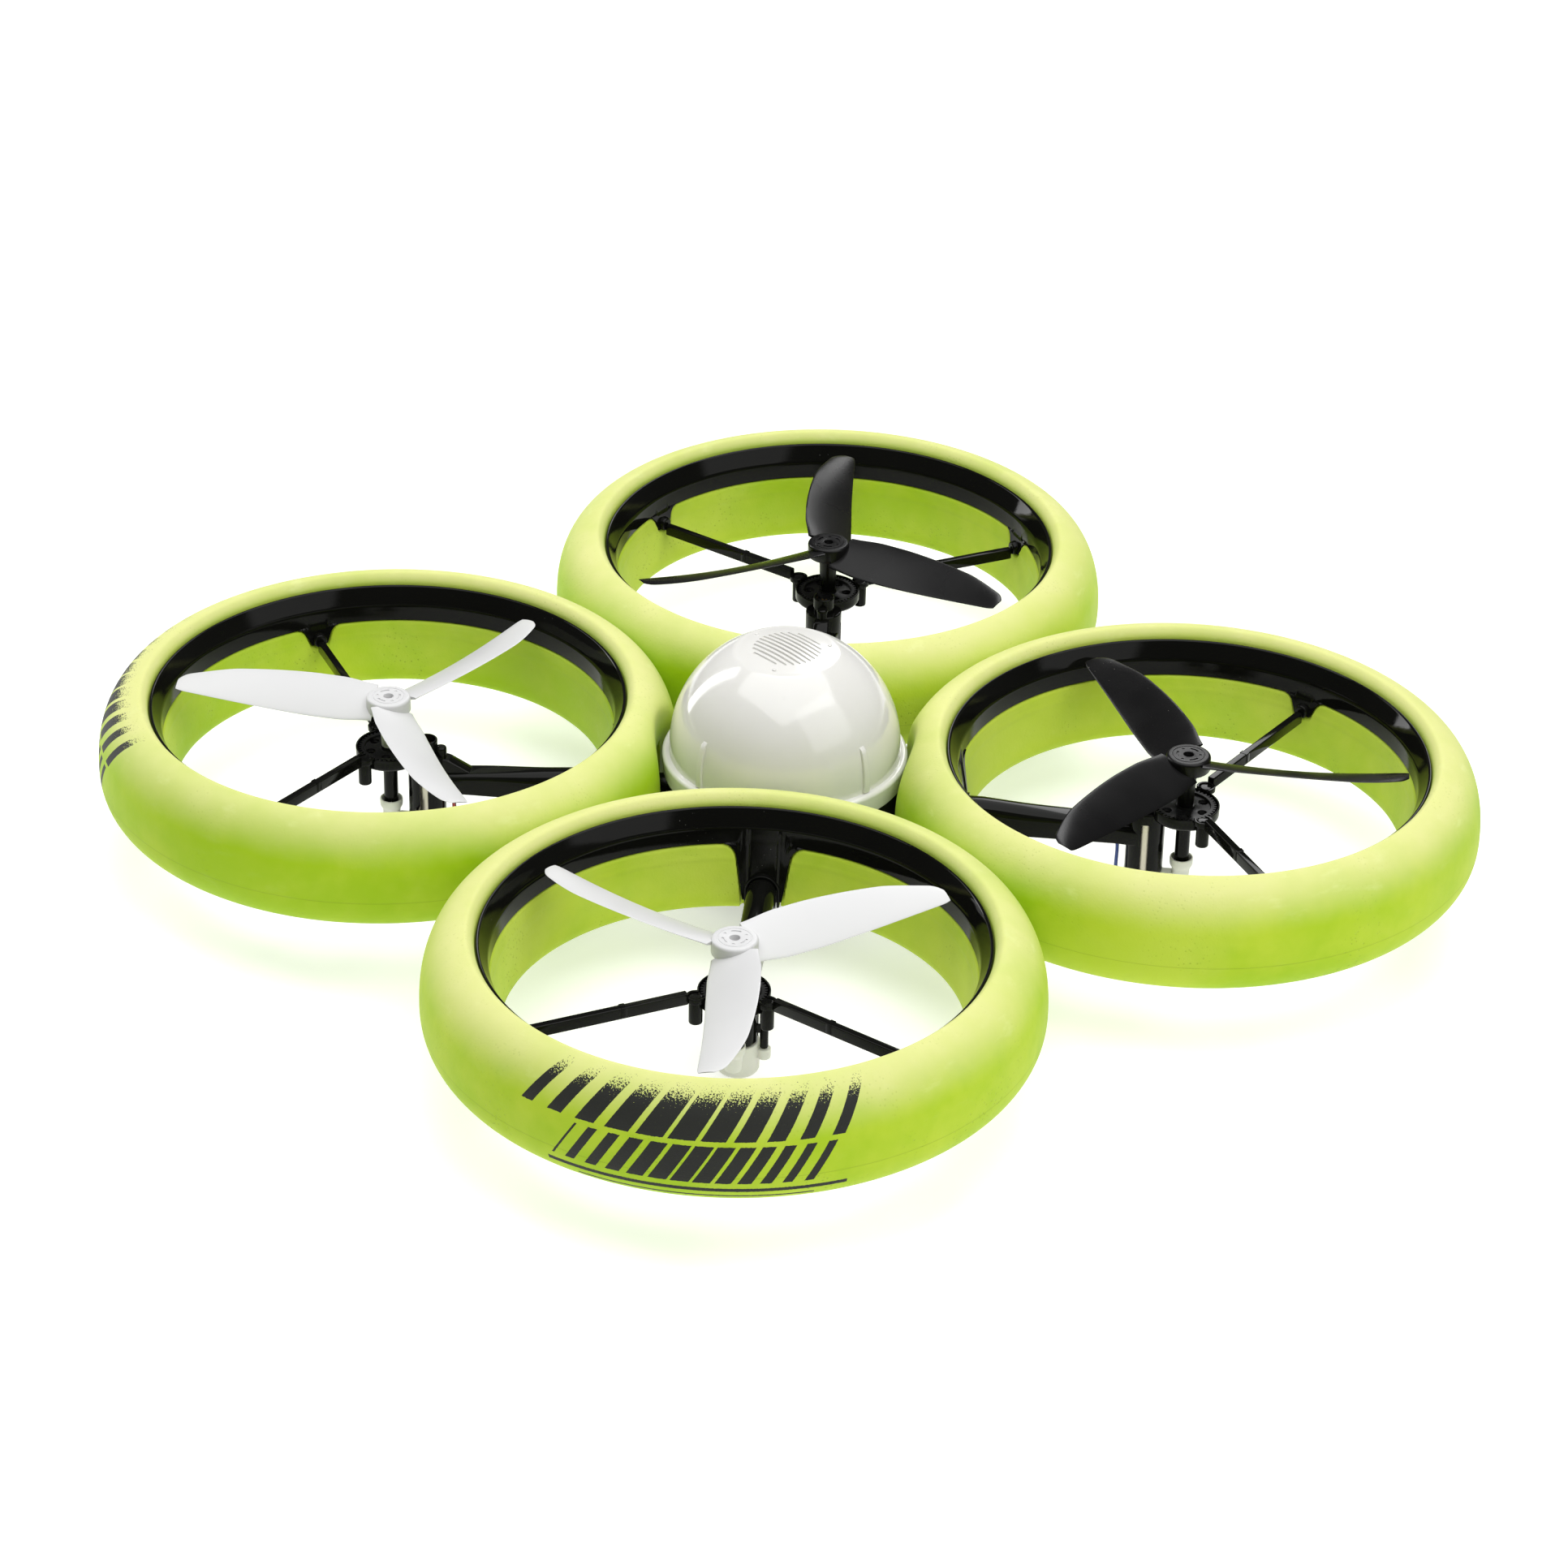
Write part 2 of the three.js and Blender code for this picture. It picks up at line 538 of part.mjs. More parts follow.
function makeCircuitBoard() {
  const board = block(-16, 16, -16, 16, 31.6, 32.8);
  const chip = block(-4, 4, -4, 4, 32.6, 34);
  const receiver = block(6.5, 12, -6, 6, 32.6, 34.4);
  const connector = block(-12.5, -7.5, -5, 5, 32.6, 36.4);
  const posts = [[-13.5, -13.5], [13.5, 13.5], [-13.5, 13.5], [13.5, -13.5]]
    .map(([x, y]) => rod(1.4, TRAY_BOTTOM + 13, 32, x, y, 6));
  return join(board, chip, receiver, connector, ...posts);
}

const finish = {
  foam: new THREE.MeshStandardMaterial({ color: 0xc6d94b, roughness: 0.75 }),
  black: new THREE.MeshStandardMaterial({ color: 0x151614, roughness: 0.3 }),
  white: new THREE.MeshStandardMaterial({ color: 0xf1f1f0, roughness: 0.4 }),
  opal: new THREE.MeshStandardMaterial({ color: 0xe6e5e0, roughness: 0.15 }),
  steel: new THREE.MeshStandardMaterial({ color: 0xb9b7b0, roughness: 0.3, metalness: 1 }),
  brass: new THREE.MeshStandardMaterial({ color: 0xc99a4b, roughness: 0.3, metalness: 1 }),
  board: new THREE.MeshStandardMaterial({ color: 0x1d5a34, roughness: 0.5 }),
  wrap: new THREE.MeshStandardMaterial({ color: 0x3c5fa8, roughness: 0.4 }),
  wire: new THREE.MeshStandardMaterial({ color: 0xa32020, roughness: 0.5 }),
};

const craft = new THREE.Group();

function place(group, name, piece, material) {
  const mesh = new THREE.Mesh(toGeometry(piece), material);
  mesh.name = name;
  group.add(mesh);
}

// Left and right are the aircraft's own, with the nose along -Y.
// Diagonal pairs turn the same way; a blade's hand is +1 for counter-clockwise from above.
const pods = [
  { name: "front_right", x: -1, y: -1, hand: -1, blades: finish.white },
  { name: "front_left", x: 1, y: -1, hand: 1, blades: finish.white },
  { name: "rear_right", x: -1, y: 1, hand: 1, blades: finish.black },
  { name: "rear_left", x: 1, y: 1, hand: -1, blades: finish.black },
];

const shared = {
  foam: makeFoam(), duct: makeDuct(), left: makeSpoke(1), right: makeSpoke(-1), arm: makeArm(),
  shaft: makeRotorShaft(), spur: makeSpurGear(), bush: makeBush(), motor: makeMotor(),
  pinion: makePinion(), cap: makeFootCap(), wires: makeWires(),
};

for (const { name, x, y, hand, blades } of pods) {
  const pod = new THREE.Group();
  pod.position.set(x * PITCH, y * PITCH, 0);
  pod.rotation.z = Math.atan2(-y, -x);
  place(pod, `foam_bumper_${name}`, shared.foam, finish.foam);
  place(pod, `duct_ring_${name}`, shared.duct, finish.black);
  place(pod, `left_spoke_${name}`, shared.left, finish.black);
  place(pod, `right_spoke_${name}`, shared.right, finish.black);
  place(pod, `motor_arm_${name}`, shared.arm, finish.black);
  place(pod, `propeller_${name}`, makePropeller(hand), blades);
  place(pod, `rotor_shaft_${name}`, shared.shaft, finish.steel);
  place(pod, `spur_gear_${name}`, shared.spur, finish.black);
  place(pod, `shaft_bush_${name}`, shared.bush, finish.brass);
  place(pod, `motor_${name}`, shared.motor, finish.steel);
  place(pod, `motor_pinion_${name}`, shared.pinion, finish.brass);
  place(pod, `foot_cap_${name}`, shared.cap, finish.white);
  place(pod, `motor_wires_${name}`, shared.wires, finish.wire);
  craft.add(pod);
}

place(craft, "dome_cover", makeDome(), finish.opal);
place(craft, "lower_body", makeTray(), finish.black);
place(craft, "circuit_board", makeCircuitBoard(), finish.board);
place(craft, "battery", block(-14.6, 14.6, -18.5, 18.5, TRAY_BOTTOM + 0.6, TRAY_BOTTOM + 9), finish.wrap);
place(craft, "battery_door", block(-17, 17, -20.5, 21.5, TRAY_BOTTOM - 2, TRAY_BOTTOM - 0.4), finish.black);
place(craft, "power_switch", makeSwitch(), finish.white);

export default craft;
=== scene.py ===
# %% [markdown]
# # A four-rotor flyer with foam ring bumpers
# The aircraft has four rotor pods round a white dome. Each pod is a foam bumper, a glossy black
# duct ring, two spokes, a geared motor under the rotor, and an arm that runs to the middle.
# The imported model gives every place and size. This script adds the finished surfaces. Shapes are
# worked out with numpy as grids of points, because a formula is easy to read, change and repeat.

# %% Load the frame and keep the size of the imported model
import json
import math

import bmesh
import bpy
import numpy as np
from mathutils import Matrix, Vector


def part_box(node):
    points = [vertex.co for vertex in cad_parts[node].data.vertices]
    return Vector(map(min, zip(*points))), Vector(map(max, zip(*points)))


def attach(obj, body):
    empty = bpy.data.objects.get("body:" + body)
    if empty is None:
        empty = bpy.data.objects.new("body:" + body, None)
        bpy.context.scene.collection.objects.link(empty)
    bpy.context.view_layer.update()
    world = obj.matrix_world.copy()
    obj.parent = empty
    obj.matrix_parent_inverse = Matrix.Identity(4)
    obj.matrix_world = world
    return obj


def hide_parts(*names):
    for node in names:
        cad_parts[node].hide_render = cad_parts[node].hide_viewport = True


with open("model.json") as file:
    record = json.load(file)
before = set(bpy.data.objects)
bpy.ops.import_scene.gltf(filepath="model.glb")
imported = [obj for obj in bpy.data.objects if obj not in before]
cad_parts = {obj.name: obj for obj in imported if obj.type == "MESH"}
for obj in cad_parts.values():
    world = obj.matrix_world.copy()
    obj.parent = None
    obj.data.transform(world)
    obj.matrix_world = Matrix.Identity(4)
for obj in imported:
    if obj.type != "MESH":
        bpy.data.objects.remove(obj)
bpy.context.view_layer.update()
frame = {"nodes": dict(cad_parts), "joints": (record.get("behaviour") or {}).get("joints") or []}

MM = 0.001
PODS = ("front_right", "front_left", "rear_right", "rear_left")
JOINTS = {joint["name"]: joint for joint in frame["joints"]}


def rotor_axis(pod):
    """The (x, y) place of a pod's rotor axis, in millimetres."""
    return np.array(JOINTS[f"rotor_spin_{pod}"]["pos_m"][:2]) / MM


PITCH = abs(rotor_axis("front_left")[0])
REACH = PITCH * math.sqrt(2)
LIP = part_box("duct_ring_front_left")[1][2] / MM
MOTOR_X = float(np.linalg.norm(
    np.array(JOINTS["pinion_spin_front_left"]["pos_m"][:2]) / MM - rotor_axis("front_left")))
print(f"pitch {PITCH:.1f} mm, lip at {LIP:.1f} mm, motor {MOTOR_X:.1f} mm inside the rotor axis")

# %% [markdown]
# ## Camera, floor and light
# The view is from ahead and to one side, thirty degrees up, with a long lens, as a catalogue
# picture is taken. A big soft light overhead, a box in front, a strip on the left, another behind
# and a pale floor give the glossy black plastic broad reflections and keep the shadows light.

# %% Camera
CAMERA_PLACE = (0.89154, -0.71998, LIP * MM + 0.65003)
CAMERA_FORWARD = np.array([-0.6717, 0.5424, -0.5046])
CAMERA_RIGHT = np.array([0.6201, 0.7843, 0.0176])
LENS_MM = 105.48


def as_object(data, name):
    """A new object with that data, linked into the scene."""
    made = bpy.data.objects.new(name, data)
    bpy.context.scene.collection.objects.link(made)
    return made


def axes_matrix(right, up, back, place):
    """The matrix of an object whose own axes point along right, up and back."""
    turn = np.eye(4)
    turn[:3, 0], turn[:3, 1], turn[:3, 2], turn[:3, 3] = right, up, back, place
    return Matrix(turn.tolist())


def make_camera():
    """A camera whose axes are given: it looks along -Z of its own frame, with +X to the right."""
    forward = CAMERA_FORWARD / np.linalg.norm(CAMERA_FORWARD)
    right = CAMERA_RIGHT - forward * (CAMERA_RIGHT @ forward)
    right /= np.linalg.norm(right)
    camera = as_object(bpy.data.cameras.new("camera"), "camera")
    camera.matrix_world = axes_matrix(right, np.cross(right, forward), -forward, CAMERA_PLACE)
    camera.data.lens = LENS_MM
    camera.data.sensor_width = 36
    camera.data.clip_end = 20
    bpy.context.scene.camera = camera


make_camera()

# %% Nodes: a small language for materials
class Nodes:
    """Builds a material's node tree: node() adds one, feed() sets or joins a socket."""

    def __init__(self, name):
        self.material = bpy.data.materials.new(name)
        self.material.use_nodes = True
        self.tree = self.material.node_tree
        self.shader = self.tree.nodes["Principled BSDF"]
        self.place = self.node("ShaderNodeTexCoord").outputs["Object"]

    def node(self, kind, **settings):
        made = self.tree.nodes.new(kind)
        for key, value in settings.items():
            setattr(made, key, value)
        return made

    def feed(self, socket, value):
        if isinstance(value, bpy.types.NodeSocket):
            self.tree.links.new(value, socket)
        else:
            socket.default_value = value

    def shade(self, **values):
        """Sets the shader's sockets by name, with _ for a space."""
        for key, value in values.items():
            self.feed(self.shader.inputs[key.replace("_", " ")], value)

    def math(self, operation, a, b=0.0, c=0.0, clamp=False):
        made = self.node("ShaderNodeMath", operation=operation, use_clamp=clamp)
        for socket, value in zip(made.inputs, (a, b, c)):
            self.feed(socket, value)
        return made.outputs[0]

    def times(self, a, b):
        return self.math("MULTIPLY", a, b)

    def split(self, vector):
        """The three parts of a vector."""
        made = self.node("ShaderNodeSeparateXYZ")
        self.feed(made.inputs[0], vector)
        return made.outputs

    def noise(self, scale, detail=3.0, rough=0.5, stretch=None, distortion=0.0):
        """Noise of that many features per metre, stretched by a factor along each axis."""
        made = self.node("ShaderNodeTexNoise")
        source = self.place
        if stretch:
            mapping = self.node("ShaderNodeMapping")
            self.feed(mapping.inputs["Vector"], source)
            mapping.inputs["Scale"].default_value = stretch
            source = mapping.outputs[0]
        self.feed(made.inputs["Vector"], source)
        for key, value in zip(("Scale", "Detail", "Roughness", "Distortion"),
                              (scale, detail, rough, distortion)):
            made.inputs[key].default_value = value
        return made.outputs["Fac"]

    def spots(self, scale):
        """Distance to the nearest of scattered points."""
        made = self.node("ShaderNodeTexVoronoi")
        self.feed(made.inputs["Vector"], self.place)
        made.inputs["Scale"].default_value = scale
        return made.outputs["Distance"]

    def ramp(self, value, low, high, to_low=0.0, to_high=1.0):
        """Maps low..high on to to_low..to_high, smoothly and clamped."""
        made = self.node("ShaderNodeMapRange", interpolation_type="SMOOTHSTEP")
        for socket, number in zip(made.inputs, (value, low, high, to_low, to_high)):
            self.feed(socket, number)
        return made.outputs[0]

    def spread(self, noise, low, high):
        """Goes from low to high while a noise rises through the range where most of it lies."""
        return self.ramp(noise, 0.3, 0.7, low, high)

    def mix(self, factor, a, b):
        """The colour between a and b. Sockets 6, 7 and the output 2 are the node's colour ones."""
        made = self.node("ShaderNodeMix", data_type="RGBA")
        for number, value in ((0, factor), (6, a), (7, b)):
            self.feed(made.inputs[number], value)
        return made.outputs[2]

    def bump(self, height, distance, strength, under=None):
        """A bump of that height in metres. under is another bump that it lies on."""
        made = self.node("ShaderNodeBump")
        made.inputs["Strength"].default_value = strength
        made.inputs["Distance"].default_value = distance
        self.feed(made.inputs["Height"], height)
        if under:
            self.feed(made.inputs["Normal"], under)
        return made.outputs[0]


# %% Floor, backdrop and lights
FLOOR_HALF = 6.0
FLOOR_GLOW, WORLD_GLOW = 0.5, 0.10


def make_stage():
    """A wide flat paper floor that glows a little, so that no deep shadow lies under the rings."""
    paper = Nodes("backdrop_paper")
    grain = paper.noise(60.0, 4.0)
    paper.shade(Base_Color=paper.mix(grain, (0.74, 0.74, 0.735, 1), (0.78, 0.78, 0.78, 1)),
                Roughness=0.9, Emission_Color=(1, 1, 1, 1), Emission_Strength=FLOOR_GLOW)
    mesh = bpy.data.meshes.new("studio_floor")
    corners = [(x * FLOOR_HALF, y * FLOOR_HALF, 0) for x, y in ((-1, -1), (1, -1), (1, 1), (-1, 1))]
    mesh.from_pydata(corners, [], [(0, 1, 2, 3)])
    mesh.materials.append(paper.material)
    as_object(mesh, "studio_floor")


def soft_box(name, place, width, height, power):
    """A rectangular area light that faces the middle of the aircraft."""
    light = bpy.data.lights.new(name, "AREA")
    light.shape = "RECTANGLE"
    light.size = width
    light.size_y = height
    light.energy = power
    z = np.array(place) - np.array([0, 0, 0.03])
    z = z / np.linalg.norm(z)
    x = np.cross([0, 0, 1], z) if abs(z[2]) < 0.99 else np.array([1.0, 0, 0])
    x = x / np.linalg.norm(x)
    as_object(light, name).matrix_world = axes_matrix(x, np.cross(z, x), z, place)


def make_world():
    world = bpy.data.worlds.new("studio")
    world.use_nodes = True
    background = world.node_tree.nodes["Background"]
    background.inputs["Color"].default_value = (1, 1, 1, 1)
    background.inputs["Strength"].default_value = WORLD_GLOW
    bpy.context.scene.world = world
    bpy.context.scene.view_settings.view_transform = "Standard"


make_stage()
make_world()
soft_box("overhead", (0.1, 0.0, 1.9), 2.6, 2.6, 54)
soft_box("left_strip", (-1.05, -0.28, 0.46), 0.22, 1.0, 4.5)
soft_box("front_box", (1.0, 0.25, 0.86), 1.1, 1.1, 5.6)
soft_box("back_strip", (-0.75, 0.95, 0.9), 0.3, 0.6, 3)

# %% [markdown]
# ## Making meshes from grids
# A surface is a grid of points, `points[i, j]`. Either direction may wrap round, and a row may
# shrink to one point at a pole. The builder below turns any number of such grids into one mesh,
# welds the poles and turns every face outwards.

# %% Grids to meshes
def crisp(mesh, degrees):
    """The mesh shaded smooth, with the edges that bend by more than that left crisp."""
    mesh.polygons.foreach_set("use_smooth", np.ones(len(mesh.polygons), dtype=bool))
    mesh.set_sharp_from_angle(angle=math.radians(degrees))
    return mesh


def grid_faces(shape, wrap_i, wrap_j, start):
    """Corner numbers of the squares between neighbouring grid points, and their (i, j) places."""
    rows, columns = shape
    i, j = np.meshgrid(np.arange(rows if wrap_i else rows - 1),
                       np.arange(columns if wrap_j else columns - 1), indexing="ij")
    i, j = i.ravel(), j.ravel()
    corners_i = np.stack([i, i + 1, i + 1, i], axis=1)
    corners_j = np.stack([j, j, j + 1, j + 1], axis=1)
    return start + (corners_i % rows) * columns + corners_j % columns, corners_i, corners_j


class Shape:
    """Collects grids of points, in millimetres in the pod's own frame, and faces between them."""

    def __init__(self):
        self.points = []
        self.quads = []
        self.polygons = []
        self.count = 0

    def grid(self, points, wrap_i=False, wrap_j=False):
        points = np.asarray(points, dtype=float)
        quads, _, _ = grid_faces(points.shape[:2], wrap_i, wrap_j, self.count)
        self.points.append(points.reshape(-1, 3))
        self.quads.append(quads)
        self.count += points.shape[0] * points.shape[1]
        return self

    def add(self, other, move=None):
        """Adds another shape, moved by a function of its points."""
        for points in other.points:
            self.points.append(move(points) if move else points)
        self.quads += [quads + self.count for quads in other.quads]
        self.polygons += [[corner + self.count for corner in face] for face in other.polygons]
        self.count += other.count
        return self

    def mesh(self, name, sharp_deg=40.0):
        """One mesh: poles welded, doubles gone, faces outwards, edges over sharp_deg kept crisp."""
        mesh = bpy.data.meshes.new(name)
        faces = [face for quads in self.quads for face in quads.tolist()] + self.polygons
        mesh.from_pydata(np.concatenate(self.points) * MM, [], faces)
        work = bmesh.new()
        work.from_mesh(mesh)
        bmesh.ops.remove_doubles(work, verts=work.verts, dist=2e-6)
        bmesh.ops.dissolve_degenerate(work, edges=work.edges, dist=1e-6)
        bmesh.ops.recalc_face_normals(work, faces=work.faces)
        work.to_mesh(mesh)
        work.free()
        return crisp(mesh, sharp_deg)


def rounded(points, radii, steps=4, closed=True):
    """A polygon with its corners rounded: each corner becomes a short curve of steps + 1 points.

    The curve is a quadratic one from a radius before the corner to a radius after it.
    """
    points = np.asarray(points, dtype=float)
    radii = np.broadcast_to(radii, len(points))
    count = len(points)
    out = []
    for k in range(count):
        here = points[k]
        if radii[k] <= 0 or (not closed and k in (0, count - 1)):
            out.append(here)
            continue
        before, after = points[k - 1] - here, points[(k + 1) % count] - here
        start = here + before * min(0.5, radii[k] / np.linalg.norm(before))
        stop = here + after * min(0.5, radii[k] / np.linalg.norm(after))
        for t in np.linspace(0, 1, steps + 1):
            out.append((1 - t) ** 2 * start + 2 * t * (1 - t) * here + t * t * stop)
    return np.array(out)


def arc(radius, start, stop, centre=(0, 0), steps=9):
    """Points along part of a circle, from one angle to another, in degrees."""
    t = np.radians(np.linspace(start, stop, steps))
    return np.column_stack([centre[0] + radius * np.cos(t), centre[1] + radius * np.sin(t)])


def around(radius, angle):
    """The (x, y) place at a radius and an angle in radians."""
    return radius * math.cos(angle), radius * math.sin(angle)


def lathe(profile, sides=64, centre=(0, 0)):
    """Turns (radius, height) points about a vertical axis. The profile closes on itself."""
    profile = np.asarray(profile, dtype=float)
    turn = np.linspace(0, 2 * np.pi, sides, endpoint=False)
    points = np.empty((sides, len(profile), 3))
    points[..., 0] = centre[0] + np.cos(turn)[:, None] * profile[None, :, 0]
    points[..., 1] = centre[1] + np.sin(turn)[:, None] * profile[None, :, 0]
    points[..., 2] = profile[None, :, 1]
    return Shape().grid(points, wrap_i=True, wrap_j=True)


def peg(radius, low, high, x=0.0, y=0.0, edge=0.3, sides=32):
    """An upright rod with rounded rims."""
    return lathe(rounded([(0, low), (radius, low), (radius, high), (0, high)], [0, edge, edge, 0]),
                 sides, (x, y))


def swept(sections):
    """A closed skin through a stack of equal-count outlines, shut at both ends with flat faces."""
    sections = np.asarray(sections, dtype=float)
    shape = Shape().grid(sections, wrap_j=True)
    columns = sections.shape[1]
    last = (len(sections) - 1) * columns
    shape.polygons.append(list(range(columns))[::-1])
    shape.polygons.append([last + k for k in range(columns)])
    return shape


def bar(outline, x0, x1, edge=0.25):
    """An outline of (y, z) points carried along X, with its end edges eased."""
    outline = np.asarray(outline, dtype=float)
    middle = outline.mean(axis=0)
    away = outline - middle
    sections = []
    for x, inset in ((x0, edge), (x0 + edge, 0.0), (x1 - edge, 0.0), (x1, edge)):
        shrink = 1 - inset / np.maximum(np.linalg.norm(away, axis=1, keepdims=True), 1e-6)
        section = middle + away * shrink
        sections.append(np.column_stack([np.full(len(section), x), section]))
    return swept(sections)


def block(x0, x1, y0, y1, z0, z1, edge=0.3):
    """A box with rounded edges."""
    return bar(rounded([(y0, z0), (y1, z0), (y1, z1), (y0, z1)], edge), x0, x1, edge)


def upright(outline, low, high, edge=0.3):
    """An outline of (x, y) points carried up, with its end edges eased."""
    lying = bar([(y, x) for x, y in outline], low, high, edge)
    return Shape().add(lying, lambda points: points[:, [2, 1, 0]])


def turned_about_axis(angle):
    """A function that turns points about the vertical axis through the frame's origin."""
    c, s = math.cos(angle), math.sin(angle)
    return lambda points: points @ np.array([[c, s, 0], [-s, c, 0], [0, 0, 1]])


# %% Cutting and placing
def boolean(mesh, other, operation):
    """The mesh joined with or cut by another, by Blender's exact boolean."""
    body, tool = as_object(mesh, "boolean_body"), as_object(other, "boolean_tool")
    modifier = body.modifiers.new("boolean", "BOOLEAN")
    modifier.operation = operation
    modifier.solver = "EXACT"
    modifier.object = tool
    final = body.evaluated_get(bpy.context.evaluated_depsgraph_get())
    result = bpy.data.meshes.new_from_object(final)
    for used in (body, tool):
        old = used.data
        bpy.data.objects.remove(used)
        bpy.data.meshes.remove(old)
    return result


def united(shapes, name):
    """All the shapes joined into one skin."""
    mesh = shapes[0].mesh(name)
    for shape in shapes[1:]:
        mesh = boolean(mesh, shape.mesh(name), "UNION")
    return mesh


def carved(mesh, shapes):
    """The mesh with each shape cut out of it."""
    for shape in shapes:
        mesh = boolean(mesh, shape.mesh("tool"), "DIFFERENCE")
    return crisp(mesh, 35)


def pod_matrix(pod):
    """Takes the pod's own frame, +X towards the middle, to the aircraft's frame, in metres."""
    x, y = rotor_axis(pod) * MM
    angle = math.atan2(-y, -x)
    c, s = math.cos(angle), math.sin(angle)
    return np.array([[c, -s, 0, x], [s, c, 0, y], [0, 0, 1, 0], [0, 0, 0, 1.0]])


def piece(name, mesh, material, body, nodes, pod=None):
    """Puts a copy of the mesh in its pod, on its body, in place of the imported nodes."""
    copy = mesh.copy()
    copy.name = name
    if pod:
        points = np.empty(len(copy.vertices) * 3)
        copy.vertices.foreach_get("co", points)
        matrix = pod_matrix(pod)
        placed = points.reshape(-1, 3) @ matrix[:3, :3].T + matrix[:3, 3]
        copy.vertices.foreach_set("co", placed.ravel())
        copy.update()
    copy.materials.clear()
    copy.materials.append(material)
    made = as_object(copy, name)
    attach(made, body)
    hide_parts(*nodes)
    return made

# %% [markdown]
# ## The foam bumpers
# A bumper is one moulded ring of closed-cell foam. Its outside is a rounded D, taller above the
# middle than below; inside, a rebate holds the duct ring and a plain wall runs down under it.
# The ring is flattened where it meets its neighbours, hollowed where it clears the dome, slotted
# for the arm and recessed behind the duct's tongues. All of that is one grid: a section carried
# round a circle, whose points are then pushed by smooth formulas.

# %% Tongues of the duct ring: one wide tab over the arm and two ears that hold the spokes
SPOKE_ANGLE = 2 * math.pi / 3
BAND_Z = LIP - 10.1
BAND_R = 65.2
FOOT_Z = LIP - 30.8
ARM_TOP, ARM_BOTTOM, ARM_HALF = LIP - 19.6, LIP - 29, 4.0
ARM_LEVEL_X, ARM_SLOPE = 58.0, 0.09
TONGUES = (
    # root, waist and foot are half widths, at the band, above the straight part and at the end
    {"angle": 0.0, "root": 11.0, "waist": 7.6, "foot": 5.8, "drop": 16.5},
    {"angle": SPOKE_ANGLE, "root": 6.4, "waist": 3.9, "foot": 2.5, "drop": 5.4},
    {"angle": -SPOKE_ANGLE, "root": 6.4, "waist": 3.9, "foot": 2.5, "drop": 5.4},
)


def angles_round():
    """Angles round the ring, closer together where the tongues are."""
    parts = [np.linspace(-np.pi, np.pi, 300, endpoint=False)]
    for tongue in TONGUES:
        reach = 1.25 * tongue["root"] / BAND_R
        parts.append(tongue["angle"] + np.linspace(-reach, reach, 84))
    every = np.sort(np.mod(np.concatenate(parts) + np.pi, 2 * np.pi) - np.pi)
    keep = np.concatenate([[True], np.diff(every) > 0.0015])
    return every[keep]


def tongue_depth(angle, grow=0.0):
    """How far the ring's lower edge hangs below the band at an angle.

    Across a tongue the edge falls on a fillet from the root to the waist, then almost straight
    down to the foot. grow widens every tongue, for the clearance that the foam leaves.
    """
    depth = np.zeros_like(angle)
    for tongue in TONGUES:
        away = np.abs(np.mod(angle - tongue["angle"] + np.pi, 2 * np.pi) - np.pi) * BAND_R - grow
        root, waist, foot, drop = (tongue[key] for key in ("root", "waist", "foot", "drop"))
        fillet = np.clip((root - away) / (root - waist), 0, 1)
        straight = np.clip((waist - away) / (waist - foot), 0, 1)
        first = min(3.2, 0.35 * drop)
        depth = np.maximum(depth, first * fillet ** 2 + (drop + grow - first) * straight)
    return depth


# %% The foam's section and the pushes that shape the ring
FOAM_MID_R, FOAM_HALF_W, FOAM_MID_Z = 68.9, 15.0, LIP - 18.1
FOAM_UP, FOAM_DOWN, FOAM_POWER = 21.3, 12.7, 2.3
SECTION_POINTS = 124
WALL_R = 66.3
RECESS_DEPTH = 1.9
SLOT_HALF_IN_WALL, SLOT_HALF, SLOT_BACK_R = 5.6, 4.35, 67.2
NEIGHBOUR_GAP = 0.16
DOME_HOLLOW_R = 37.25


def foam_section():
    """(radius, height) points round the section, evenly spaced, starting at the inner wall's top.

    The outer half is |x/a|^n + |z/b|^n = 1 with a taller upper half; the inner side is straight.
    """
    t = np.linspace(-np.pi / 2, np.pi / 2, 120)
    cos, sin = np.abs(np.cos(t)) ** (2 / FOAM_POWER), np.abs(np.sin(t)) ** (2 / FOAM_POWER)
    outer_r = FOAM_MID_R + FOAM_HALF_W * cos
    outer_z = FOAM_MID_Z + np.where(t < 0, -FOAM_DOWN * sin, FOAM_UP * sin)
    keep = (outer_r > FOAM_MID_R + 2.2) | (t < 0)
    wall = [(65.0, BAND_Z - 0.45), (64.4, LIP - 14.3), (64.05, LIP - 14.75), (64.3, LIP - 15.2),
            (62.3, FOOT_Z + 3.4)]
    inner = rounded([(66.9, BAND_Z - 0.3)] + wall + [(63.3, FOOT_Z + 0.9), (66.5, FOOT_Z + 0.05)],
                    [0, 0.5, 0, 0.3, 0, 2.0, 1.5, 0], 4, closed=False)
    rim = rounded([(71.3, LIP + 3.05), (70.2, LIP + 2.35), (69.15, LIP + 0.75), (68.95, LIP - 1.2),
                   (67.1, LIP - 4.9), (66.9, BAND_Z - 0.2)],
                  [0, 0.5, 0.6, 0.5, 0, 0], 4, closed=False)
    outline = np.concatenate([inner, np.column_stack([outer_r, outer_z])[keep], rim])
    step = np.linalg.norm(np.diff(outline, axis=0, append=outline[:1]), axis=1)
    place = np.concatenate([[0], np.cumsum(step)])
    closed = np.concatenate([outline, outline[:1]])
    even = np.linspace(0, place[-1], SECTION_POINTS, endpoint=False)
    return np.column_stack([np.interp(even, place, closed[:, k]) for k in (0, 1)])


def soft_floor(value, limit, soft):
    """value where it is well above limit, and limit where it is well below, with a soft bend."""
    x = (value - limit) / soft
    return limit + soft * np.logaddexp(0, x)


